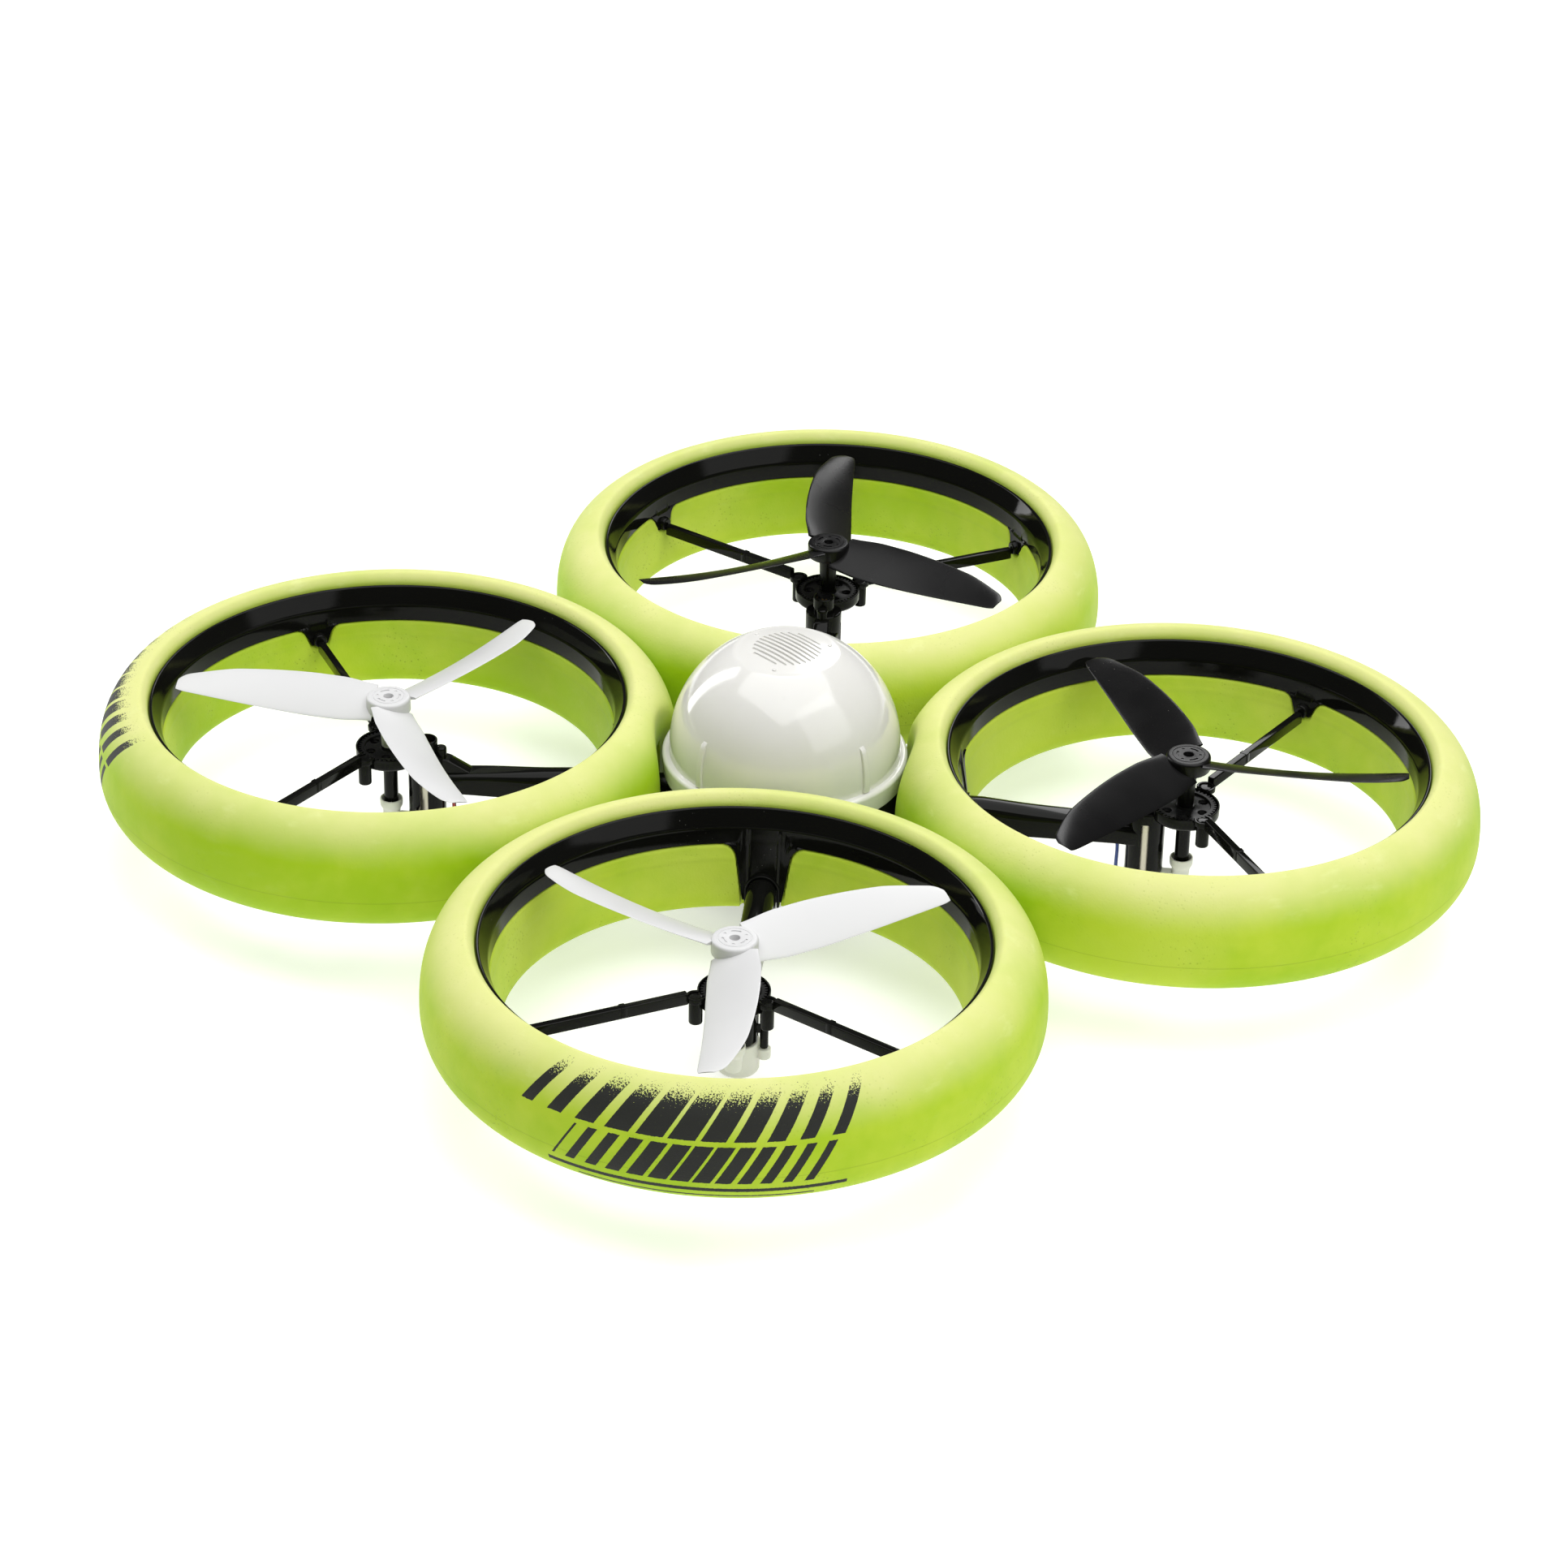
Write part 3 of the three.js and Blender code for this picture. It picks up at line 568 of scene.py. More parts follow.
def smooth(value, low, high):
    """0 below low, 1 above high, and an easy S between them."""
    t = np.clip((value - low) / (high - low), 0, 1)
    return t * t * (3 - 2 * t)


def foam_points():
    """The bumper's grid of points, and the angle of each of its rows."""
    section = foam_section()
    angle = angles_round()
    radius, height = section[:, 0], section[:, 1]
    r = np.broadcast_to(radius, (len(angle), len(radius))).copy()
    z = np.broadcast_to(height, r.shape).copy()
    # the recess behind the tongues, and the slot under the arm
    is_wall = (radius < WALL_R) & (height < BAND_Z - 0.2)
    depth = tongue_depth(angle, grow=0.35)[:, None]
    behind = smooth(depth - (BAND_Z - z), -0.5, 0.5) * is_wall
    r += RECESS_DEPTH * behind
    across = np.abs(r * np.sin(angle)[:, None])
    edge = np.where(is_wall, SLOT_HALF_IN_WALL, SLOT_HALF)
    in_slot = (1 - smooth(across, edge, edge + 0.6)) * (np.cos(angle)[:, None] > 0)
    z = z + in_slot * (soft_floor(z, BAND_Z - 0.6, 0.25) - z)
    r += in_slot * is_wall * (SLOT_BACK_R - r)
    x, y = r * np.cos(angle)[:, None], r * np.sin(angle)[:, None]
    # flats against the two neighbours
    for side in (-1, 1):
        nx, ny = math.cos(math.pi / 4), side * math.sin(math.pi / 4)
        reach = x * nx + y * ny
        pushed = -soft_floor(-reach, NEIGHBOUR_GAP - PITCH, 0.45) - reach
        x, y = x + nx * pushed, y + ny * pushed
    # the hollow for the dome
    away = np.hypot(x - REACH, y)
    scale = soft_floor(away, DOME_HOLLOW_R, 0.7) / away
    x, y = REACH + (x - REACH) * scale, y * scale
    return np.stack([x, y, z], axis=2), angle


def foam_mesh():
    """The bumper's mesh, with a UV map: u runs round the ring, v round its section, from 0 to 1."""
    points, angle = foam_points()
    rows, columns = points.shape[:2]
    quads, corner_i, corner_j = grid_faces((rows, columns), True, True, 0)
    mesh = bpy.data.meshes.new("foam_bumper")
    mesh.from_pydata(points.reshape(-1, 3) * MM, [], quads[:, ::-1].tolist())
    turn = np.append(angle, angle[0] + 2 * np.pi)
    u = turn[corner_i][:, ::-1] / (2 * np.pi)
    v = corner_j[:, ::-1] / columns
    uv = mesh.uv_layers.new(name="ring")
    uv.data.foreach_set("uv", np.stack([u, v], axis=2).ravel().astype(np.float32))
    return crisp(mesh, 60)


def volume(mesh):
    """Signed volume: positive when the faces point out."""
    mesh.calc_loop_triangles()
    corners = np.empty(len(mesh.vertices) * 3)
    mesh.vertices.foreach_get("co", corners)
    corners = corners.reshape(-1, 3)
    triangles = np.empty(len(mesh.loop_triangles) * 3, dtype=int)
    mesh.loop_triangles.foreach_get("vertices", triangles)
    a, b, c = (corners[triangles.reshape(-1, 3)[:, k]] for k in range(3))
    return float(np.einsum("ij,ij->i", a, np.cross(b, c)).sum() / 6)


# %% The printed graphic
def v_at(height):
    """Pattern coordinate v on the bumper's outward face at a height."""
    section = foam_section()
    outer = np.flatnonzero(section[:, 0] > FOAM_MID_R + 3.5)
    return float(np.interp(height, section[outer, 1], outer)) / SECTION_POINTS


PRINT_ROWS = (
    # lowest height, highest height, half of the span in turns, bars in a turn, fades upwards
    (LIP - 8.6, LIP + 2.6, 0.085, 62.0, True),
    (LIP - 20.6, LIP - 9.9, 0.067, 92.0, False),
)
PRINT_LINES = ((LIP - 23.6, LIP - 22.3, 0.076), (LIP - 25.9, LIP - 25.2, 0.060))
LEAN = 0.105
INK = (0.018, 0.019, 0.016, 1)


def ring_place(m):
    """The foam's UV map: the place round the ring, and the place round its section."""
    return m.split(m.node("ShaderNodeUVMap", uv_map="ring").outputs[0])


def band(m, value, low, high):
    """1 between two values, and 0 outside them."""
    return m.times(m.math("GREATER_THAN", value, low), m.math("LESS_THAN", value, high))


def print_mask(m):
    """Two rows of leaning bars over two thin lines. The upper row breaks into dots at its top.

    A bar is where the fraction of (place along the ring - lean x place up the face) x count is
    below a width, and the width swells from the ends of the row to its middle.
    """
    ring = ring_place(m)
    along, v = m.math("FRACT", m.math("ADD", ring[0], 1.0)), ring[1]
    ragged = m.times(m.math("SUBTRACT", m.noise(1500.0, 2.0, 0.6), 0.5), 0.004)
    v = m.math("ADD", v, ragged)
    ink = 0.0
    speckle = m.noise(2300.0, 2.0, 0.75)
    for low, high, half, count, fades in PRINT_ROWS:
        place = m.math("SUBTRACT", along, m.times(v, LEAN))
        middle = 0.5 - LEAN * (v_at(low) + v_at(high)) / 2
        centred = m.math("ABSOLUTE", m.math("SUBTRACT", place, middle))
        width = m.ramp(centred, 0.0, half, 0.86, 0.42)
        bars = m.math("LESS_THAN", m.math("FRACT", m.times(place, count)), width)
        row = m.times(m.times(bars, m.math("LESS_THAN", centred, half)),
                     band(m, v, v_at(low), v_at(high)))
        if fades:
            fade = m.ramp(v, v_at(low + 0.45 * (high - low)), v_at(high), 0.22, 0.66)
            row = m.times(row, m.math("GREATER_THAN", speckle, fade))
        ink = m.math("ADD", ink, row, clamp=True)
    for low, high, half in PRINT_LINES:
        beside = m.math("LESS_THAN", m.math("ABSOLUTE", m.math("SUBTRACT", along, 0.5)), half)
        line = m.times(beside, band(m, v, v_at(low), v_at(high)))
        ink = m.math("ADD", ink, line, clamp=True)
    return m.times(ink, m.ramp(speckle, 0.2, 0.35, 0.90, 1.0))


# %% Foam material
PARTING_Z, PARTING_WIDTH = LIP - 19.0, 0.0028
LIME_DEEP, LIME_BRIGHT = (0.33, 0.52, 0.003, 1), (0.46, 0.60, 0.030, 1)
# The pale lime is the colour of the top: partly powder on the foam, partly painted light.
LIME_PALE_LIT, LIME_SCUFF = (0.66, 0.68, 0.26, 1), (0.84, 0.90, 0.48, 1)
LIME_SEAM, LIME_PORE = (0.16, 0.27, 0.004, 1), (0.20, 0.31, 0.012, 1)


def foam_material(printed):
    """Lime closed-cell foam: pale on top from powder and painted light, deeper below; pores, a seam
    and scuffs.
    """
    m = Nodes("foam_printed" if printed else "foam_plain")
    height = m.split(m.place)[2]
    round_section = ring_place(m)[1]
    cloud = m.noise(24.0, 4.0, 0.6)
    brush = m.noise(70.0, 4.0, 0.65, stretch=(1.0, 1.0, 3.2))
    pores = m.times(m.math("SUBTRACT", 1.0, m.ramp(m.spots(760.0), 0.12, 0.26)),
                   m.times(m.ramp(m.noise(48.0, 2.0), 0.50, 0.66),
                          m.ramp(height, (LIP - 30) * MM, (LIP - 6) * MM, 1.0, 0.25)))
    # Painted light: the top grows paler with height, partly powder and partly the light that falls
    # on it.
    rise = m.ramp(height, (LIP - 10) * MM, (LIP + 5) * MM)
    inside = m.ramp(round_section, 0.15, 0.23, 0.08, 0.0)
    uneven = m.math("ADD", m.times(rise, 0.8), 0.45)
    powder_and_light = m.math("ADD", m.math("ADD", rise, inside),
                    m.times(m.math("SUBTRACT", cloud, 0.5), uneven), clamp=True)
    # Painted shade: the rim next to the duct lip keeps the deeper green, partly less powder and
    # partly shade.
    powder_and_light = m.times(powder_and_light, m.ramp(round_section, 0.855, 0.895, 1.0, 0.15))
    deep = m.mix(m.ramp(m.noise(13.0, 5.0, 0.68), 0.36, 0.66), LIME_DEEP, LIME_BRIGHT)
    parting = band(m, round_section, v_at(PARTING_Z), v_at(PARTING_Z) + PARTING_WIDTH)
    scuffs = m.times(m.ramp(brush, 0.56, 0.78), m.ramp(rise, 0.0, 0.5, 0.03, 0.2))
    colour = m.mix(powder_and_light, deep, LIME_PALE_LIT)
    colour = m.mix(m.times(parting, 0.28), colour, LIME_SEAM)
    colour = m.mix(m.times(pores, 0.6), colour, LIME_PORE)
    colour = m.mix(scuffs, colour, LIME_SCUFF)
    if printed:
        colour = m.mix(print_mask(m), colour, INK)
    grain = m.bump(m.noise(1500.0, 3.0, 0.6), 0.00010, 0.5)
    dents = m.bump(pores, -0.00022, 0.7, grain)
    lumps = m.bump(m.noise(120.0, 3.0, 0.55), 0.00030, 0.5, dents)
    seam = m.bump(parting, -0.00015, 0.6, lumps)
    m.shade(Base_Color=colour, Roughness=m.spread(cloud, 0.55, 0.70), Normal=seam,
            Subsurface_Weight=0.10, Subsurface_Radius=(0.004, 0.005, 0.0015), Subsurface_Scale=1.0,
            Sheen_Weight=0.03, Sheen_Roughness=0.5, Specular_IOR_Level=0.22)
    return m.material


foam = foam_mesh()
if volume(foam) < 0:
    foam.flip_normals()
foam_finish = {False: foam_material(False), True: foam_material(True)}
for pod in PODS:
    bumper = piece(f"foam_ring_{pod}", foam, foam_finish[pod.startswith("front")], "airframe",
                   [f"foam_bumper_{pod}"], pod)
print(f"each bumper has {len(foam.polygons)} faces and holds {volume(foam) * 1e6:.0f} cm3")

# %% [markdown]
# ## The duct rings
# Each duct ring is an injection moulding in glossy black: a flared lip, a crease, an upright band
# and three tongues. It is one closed section carried round the circle, whose lower edge follows
# the tongue formula. Two fine ribs run down the wide tab to a half-round collar over the arm.

# %% Duct ring shape
DUCT_WALL = 1.2


def foam_wall_radius(z):
    """Radius of the foam's inner wall at a height: a straight line from the band to the foot."""
    return np.interp(z, [FOOT_Z + 3.4, BAND_Z - 0.4], [62.3, 65.0])


def duct_shape():
    angle = angles_round()
    low = BAND_Z - tongue_depth(angle)
    down = np.concatenate([np.linspace(0, 0.5, 5), np.linspace(0.56, 1, 13)])
    inner_r = rounded([(68.35, LIP), (67.9, LIP - 0.15), (65.55, LIP - 4.8), (65.35, LIP - 5.6)],
                      [0.2, 0.3, 0.5, 0], 4, closed=False)
    z_inner = inner_r[-1, 1] + (low[:, None] - inner_r[-1, 1]) * down[None, :]
    hang = np.clip(BAND_Z - z_inner, 0, None)
    r_inner = np.where(hang > 0, np.minimum(BAND_R, foam_wall_radius(z_inner) - 0.15), BAND_R)
    r_inner = r_inner + (inner_r[-1, 0] - BAND_R) * (1 - down) ** 2
    y = np.abs(np.mod(angle + np.pi, 2 * np.pi) - np.pi) * BAND_R
    ribs = np.exp(-((y[:, None] - 4.25) / 0.28) ** 2) * smooth(LIP - z_inner, 5.6, 7.5)
    r_inner = r_inner - 0.4 * ribs
    rows = len(angle)
    top = np.broadcast_to(inner_r, (rows,) + inner_r.shape)
    wall = np.stack([r_inner, z_inner], axis=2)
    foot = wall[:, -1:, :] + np.array([[0.15, -0.22], [0.6, -0.3], [1.05, -0.22]])
    outer = wall[:, ::-1, :] + np.array([DUCT_WALL, 0.0])
    flare = rounded([(65.45 + DUCT_WALL, LIP - 5.6), (65.6 + DUCT_WALL, LIP - 4.8),
                     (68.75, LIP - 1.3), (68.75, LIP - 0.25), (68.5, LIP)],
                    [0, 0.4, 0.4, 0.2, 0.1], 3, closed=False)
    flare = np.broadcast_to(flare, (rows,) + flare.shape)
    section = np.concatenate([top, wall[:, 1:], foot, outer, flare], axis=1)
    points = np.stack([section[..., 0] * np.cos(angle)[:, None],
                       section[..., 0] * np.sin(angle)[:, None], section[..., 1]], axis=2)
    shape = Shape().grid(points, wrap_i=True, wrap_j=True)
    for side in (-1, 1):
        shape.add(spoke_socket(), turned_about_axis(side * SPOKE_ANGLE))
    return shape.add(arm_collar())


def spoke_socket():
    """A small domed boss on an ear: a profile turned about the X axis."""
    profile = rounded([(64.9, 0), (64.9, 2.3), (62.95, 2.0), (62.95, 0)],
                      [0, 0.2, 0.5, 0], 4, closed=False)
    turn = np.linspace(0, 2 * np.pi, 28, endpoint=False)
    points = np.empty((len(turn), len(profile), 3))
    points[..., 0] = profile[None, :, 0]
    points[..., 1] = profile[None, :, 1] * np.cos(turn)[:, None]
    points[..., 2] = LIP - 14.2 + profile[None, :, 1] * np.sin(turn)[:, None]
    return Shape().grid(points, wrap_i=True)


def arm_collar():
    """A half-round rim that arches over the arm: a rounded bar swept along a U."""
    centre, radius, leg = ARM_TOP - ARM_HALF, ARM_HALF + 0.6, 5.0
    arch = arc(radius, 180, 0, (0, centre), 25)
    fall = np.column_stack([np.full(6, radius), centre - leg * np.arange(1, 7) / 6])
    path = np.concatenate([(fall * (-1, 1))[::-1], arch, fall])
    ahead = np.gradient(path, axis=0)
    ahead /= np.linalg.norm(ahead, axis=1, keepdims=True)
    side = np.column_stack([-ahead[:, 1], ahead[:, 0]])
    outline = rounded([(61.9, -0.35), (65.0, -0.35), (65.0, 0.35), (61.9, 0.35)], 0.25)
    sections = []
    for spot, out in zip(path, side):
        sections.append([(x, spot[0] + out[0] * t, spot[1] + out[1] * t) for x, t in outline])
    return swept(sections)


# %% Glossy black plastic
def black_plastic():
    """Moulded black: mirror-like, with faint flow marks, dust specks and hair scratches."""
    m = Nodes("black_gloss")
    flow = m.noise(35.0, 3.0, 0.5)
    hair = m.noise(900.0, 2.0, 0.6, stretch=(1.0, 6.0, 1.0))
    dust = m.ramp(m.spots(620.0), 0.035, 0.075, 1.0, 0.0)
    dusty = m.times(dust, m.ramp(m.noise(45.0, 2.0), 0.60, 0.72))
    colour = m.mix(flow, (0.0026, 0.0027, 0.0022, 1), (0.0055, 0.0056, 0.0048, 1))
    colour = m.mix(m.times(dusty, 0.8), colour, (0.30, 0.30, 0.28, 1))
    rough = m.math("ADD", m.spread(flow, 0.03, 0.08),
                   m.times(m.ramp(hair, 0.62, 0.75), 0.06))
    waves = m.bump(flow, 0.0004, 0.18)
    fine = m.bump(hair, 0.00002, 0.35, waves)
    m.shade(Base_Color=colour, Roughness=rough, Normal=fine, Specular_IOR_Level=0.12)
    return m.material


black_gloss = black_plastic()
duct = duct_shape().mesh("duct_ring", 30)
for pod in PODS:
    piece(f"duct_{pod}", duct, black_gloss, "airframe", [f"duct_ring_{pod}"], pod)
print(f"each duct ring has {len(duct.polygons)} faces")

# %% [markdown]
# ## Spokes
# A spoke is a plain rectangular bar with eased edges. It has a small step half way, where the
# mould was fed, and ends in a clip that wraps round a peg beside the gear cup.

# %% Spokes
CUP_R = 9.9
PEG_R = 1.9
PEG_AT = CUP_R + 1.2
SPOKE_Z = LIP - 15.5
SPOKE_IN, SPOKE_OUT = PEG_AT + PEG_R + 0.3, 62.7


def spoke_shape():
    """A spoke that points along +X, with its step and its clip."""
    outline = rounded([(-1.1, SPOKE_Z - 1.9), (1.1, SPOKE_Z - 1.9), (1.1, SPOKE_Z + 1.5),
                       (-1.1, SPOKE_Z + 1.5)], 0.35)
    middle = (SPOKE_IN + SPOKE_OUT) / 2 - 6
    shape = bar(outline, SPOKE_IN + 0.3, SPOKE_OUT, 0.2)
    shape.add(block(middle - 0.9, middle + 0.9, -1.28, 1.28, SPOKE_Z - 1.5, SPOKE_Z + 1.62, 0.2))
    loop = rounded([(PEG_R + 0.04, SPOKE_Z - 1.6), (PEG_R + 0.85, SPOKE_Z - 1.6),
                    (PEG_R + 0.85, SPOKE_Z - 0.1), (PEG_R + 0.04, SPOKE_Z - 0.1)], 0.2)
    clip = [[(PEG_AT + math.cos(a) * r, math.sin(a) * r, z) for r, z in loop]
            for a in np.linspace(-2.3, 2.3, 33)]
    return shape.add(swept(clip))


spoke = {side: Shape().add(spoke_shape(), turned_about_axis(side * SPOKE_ANGLE)).mesh("spoke", 35)
         for side in (-1, 1)}
for pod in PODS:
    for side, word in ((1, "left"), (-1, "right")):
        piece(f"{word}_strut_{pod}", spoke[side], black_gloss, "airframe",
              [f"{word}_spoke_{pod}"], pod)

# %% [markdown]
# ## Arm, gear cup and motor housing
# One moulding holds everything in a pod: a hollow arm, a barrel that grips the motor, a turret
# over its pinion, an open cup for the large gear and a long tube for the rotor shaft. Such a
# moulding is a few simple solids melted together, so it is joined from them and then drilled.

# %% Sizes of the arm moulding
CUP_WALL, CUP_RIM, CUP_FLOOR = 0.5, LIP - 16.3, LIP - 20
GEAR_Z, GEAR_T = LIP - 18.4, 1.8
SHAFT_R, TUBE_R, TUBE_BORE, TUBE_FOOT = 0.75, 2.1, 1.75, 12.5
BARREL_R, BARREL_FOOT, BARREL_TOP = 5.5, 10.3, 30.8
MOTOR_R, MOTOR_FOOT, MOTOR_TOP = 4.25, 8.6, 28.4
TURRET_R, TURRET_TOP, SLOT_W = 3.25, LIP - 13.4, 2.3
ARM_WALL, ARM_END = 1.2, REACH - 27
HOLE_R, HOLE_AT = 1.45, 5.85
RIB_TOP, CAP_TOP = LIP - 15.6, 10.0
PIN_R, PIN_X, PIN_Y, PIN_TOP, BOSS_TOP = 1.2, MOTOR_X - 1, -7.2, 16.2, 8.4


def web_holes(low, high):
    """Pegs that cut six holes, through the large gear's web or the cup's floor."""
    return [peg(HOLE_R, low, high, *around(HOLE_AT, math.radians(30 + 60 * k)), 0, 28)
            for k in range(6)]


def arm_top_at(x):
    """The arm's top: level near the middle, and sloping down from ARM_LEVEL_X to the motor."""
    return ARM_TOP - ARM_SLOPE * max(0.0, ARM_LEVEL_X - x)


def hollow_arm():
    """A channel, open underneath, with a rounded top. It is a little tighter near the motor."""
    sections = []
    sloping, level = np.linspace(MOTOR_X + 3, ARM_LEVEL_X, 12), np.linspace(62, ARM_END, 5)
    for x in np.concatenate([sloping, level]):
        corner = 2.0 + 1.8 * smooth(x, MOTOR_X + 14, MOTOR_X + 38)
        outside = (ARM_HALF, arm_top_at(x), corner, 1)
        inside = (ARM_HALF - ARM_WALL, arm_top_at(x) - ARM_WALL, corner * 0.65, -1)
        skin = []
        for half, top, radius, order in (outside, inside):
            right = arc(radius, 0, 90, (half - radius, top - radius))
            left = arc(radius, 90, 180, (radius - half, top - radius))
            side = np.concatenate([[(half, ARM_BOTTOM)], right, left, [(-half, ARM_BOTTOM)]])
            skin.append(side[::order])
        outline = np.concatenate(skin)
        sections.append(np.column_stack([np.full(len(outline), x), outline]))
    return swept(sections)


def arm_mesh():
    """The whole moulding: solids melted together, then drilled for the gear, motor and shaft."""
    m = MOTOR_X
    cup_in, floor_top = CUP_R - CUP_WALL, CUP_FLOOR + 1.2
    cup = lathe(rounded([(0, CUP_FLOOR), (CUP_R - 0.5, CUP_FLOOR), (CUP_R, CUP_FLOOR + 0.8),
                         (CUP_R, CUP_RIM), (cup_in, CUP_RIM), (cup_in, floor_top), (0, floor_top)],
                        [0, 0.3, 0.3, 0.22, 0.22, 0.3, 0], 3), 96)
    gusset = upright(rounded([(m, -BARREL_R + 0.2), (m + 12, -ARM_HALF + 0.2),
                              (m + 12, ARM_HALF - 0.2), (m, BARREL_R - 0.2)], 0.3),
                     ARM_BOTTOM, arm_top_at(m) - 0.4, 0.5)
    wedge = bar(rounded([(m, BARREL_TOP - 6), (m + 13, BARREL_TOP - 6),
                         (m + 13, arm_top_at(m + 13)), (m + 6.4, BARREL_TOP - 0.6),
                         (m, BARREL_TOP - 0.6)], [0, 0, 0, 1.2, 0]),
                -2.2, 2.2, 0.3)
    parts = [
        hollow_arm(), gusset, cup, Shape().add(wedge, lambda points: points[:, [1, 0, 2]]),
        peg(BARREL_R, BARREL_FOOT, BARREL_TOP, m, 0, 0.5, 64),
        peg(TURRET_R, BARREL_TOP - 1, TURRET_TOP, m, 0, 0.4, 48),
        peg(1.75, BARREL_TOP - 3, RIB_TOP, m + 4.2, 0, 0.8, 32),
        peg(TUBE_R, TUBE_FOOT, CUP_FLOOR + 0.6, 0, 0, 0.25, 40),
        peg(PIN_R, BOSS_TOP + 0.1, PIN_TOP, PIN_X, PIN_Y, 0.35, 28),
        block(PIN_X - 0.75, PIN_X + 0.75, PIN_Y, -BARREL_R + 1, PIN_TOP - 3, PIN_TOP - 0.2, 0.2),
        block(1, m - 4, -0.8, 0.8, CUP_FLOOR - 3, CUP_FLOOR + 0.5, 0.2),
    ]
    for side in (-1, 1):
        parts.append(Shape().add(peg(PEG_R, LIP - 24.1, CUP_RIM + 0.45, PEG_AT, 0, 0.45, 36),
                                 turned_about_axis(side * SPOKE_ANGLE)))
    mesh = united(parts, "motor_arm")
    drills = [
        peg(cup_in, floor_top, TURRET_TOP + 3, 0, 0, 0.05, 96),
        peg(2.65, GEAR_Z - 0.4, TURRET_TOP + 3, m, 0, 0.05, 40),
        peg(1.0, MOTOR_TOP - 1, GEAR_Z, m, 0, 0, 24),
        peg(MOTOR_R + 0.3, 0, MOTOR_TOP + 0.2, m, 0, 0.2, 64),
        peg(TUBE_BORE, 0, TUBE_FOOT + 6, 0, 0, 0.05, 32),
        peg(SHAFT_R + 0.35, 2, CUP_RIM + 2, 0, 0, 0.02, 24),
        block(m - SLOT_W / 2, m + SLOT_W / 2, -9, 9, -2, 27.5, 0.3),
    ]
    return carved(mesh, drills + web_holes(CUP_FLOOR - 1, GEAR_Z))


# %% Satin black, for the parts with a fine texture
def satin_black():
    """Moulded black with a fine even grain and faint smears."""
    m = Nodes("satin_black")
    grain = m.noise(2600.0, 2.0, 0.6)
    smear = m.noise(60.0, 3.0, 0.55)
    colour = m.mix(smear, (0.0040, 0.0040, 0.0040, 1), (0.0085, 0.0085, 0.0080, 1))
    m.shade(Base_Color=colour, Roughness=m.spread(smear, 0.30, 0.44),
            Normal=m.bump(grain, 0.00003, 0.4), Specular_IOR_Level=0.16)
    return m.material


satin = satin_black()
arm = arm_mesh()
print(f"each arm has {len(arm.polygons)} faces and holds {volume(arm) * 1e9:.0f} mm3")
for pod in PODS:
    piece(f"arm_{pod}", arm, black_gloss, "airframe", [f"motor_arm_{pod}"], pod)

# %% [markdown]
# ## Gears and shafts
# The spur gear is a thin moulded disc: fine teeth, a rim, a web with six holes and a hub. Its edge
# is one formula, the pitch radius plus a flattened cosine with one wave for each tooth, and the
# brass pinion on the motor uses the same one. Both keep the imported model's teeth in mesh.

# %% Gears
SPUR_TEETH, PINION_TEETH, MODULE_MM = 44, 10, 0.4


def toothed(teeth, phase, profile):
    """A gear: (inward distance from the teeth, height) points round a flattened cosine edge."""
    angle = np.linspace(0, 2 * np.pi, teeth * 10, endpoint=False)
    edge = MODULE_MM * teeth / 2 - 0.1 + 0.4 * np.clip(1.6 * np.cos(teeth * (angle - phase)), -1, 1)
    pitch = MODULE_MM * teeth / 2 - 0.5
    points = np.empty((len(angle), len(profile), 3))
    for k, (inward, z) in enumerate(profile):
        radius = edge - inward if inward < 0.5 else np.full_like(edge, pitch - inward)
        points[:, k] = np.column_stack([radius * np.cos(angle), radius * np.sin(angle),
                                        np.full_like(edge, z)])
    return Shape().grid(points, wrap_i=True, wrap_j=True)


def spur_mesh():
    """The large gear, with its sunk web and its hub."""
    low, high = GEAR_Z, GEAR_Z + GEAR_T
    out = MODULE_MM * SPUR_TEETH / 2 - 0.5
    bore = out - SHAFT_R - 0.06
    gear = toothed(SPUR_TEETH, 0.0, [
        (bore, low), (0.9, low), (0.12, low), (0, low + 0.1), (0, high - 0.1), (0.12, high),
        (0.9, high), (1.0, high - 0.12), (1.1, high - 0.62), (out - 3.0, high - 0.62),
        (out - 2.75, high - 0.5), (out - 2.6, high), (bore + 0.3, high), (bore, high - 0.1)])
    return carved(gear.mesh("spur_gear", 35), web_holes(low - 1, high + 1))


def pinion_mesh():
    """The pinion on the motor's shaft."""
    low, high = GEAR_Z, GEAR_Z + GEAR_T + 1.2
    out = MODULE_MM * PINION_TEETH / 2 - 0.5
    gear = toothed(PINION_TEETH, math.pi + math.pi / PINION_TEETH, [
        (out - 0.1, low), (0.12, low), (0, low + 0.1), (0, high - 0.12), (0.14, high),
        (out - 0.75, high), (out - 0.7, high - 0.35), (out - 0.1, high - 0.35)])
    shaft = peg(0.6, MOTOR_TOP + 0.35, high - 0.2, 0, 0, 0.12, 24)
    return Shape().add(gear.add(shaft), lambda points: points + (MOTOR_X, 0, 0)).mesh(
        "motor_pinion", 35)


def metal(name, colour_a, colour_b, rough):
    """Turned or drawn metal: fine lines round it, and a little tarnish."""
    m = Nodes(name)
    lines = m.noise(700.0, 3.0, 0.6, stretch=(1.0, 1.0, 14.0))
    tarnish = m.noise(220.0, 3.0, 0.6)
    colour = m.mix(tarnish, colour_a, colour_b)
    m.shade(Base_Color=colour, Metallic=1.0,
            Roughness=m.math("ADD", m.spread(tarnish, rough, rough + 0.12),
                             m.times(lines, 0.10)),
            Normal=m.bump(lines, 0.00004, 0.5))
    return m.material


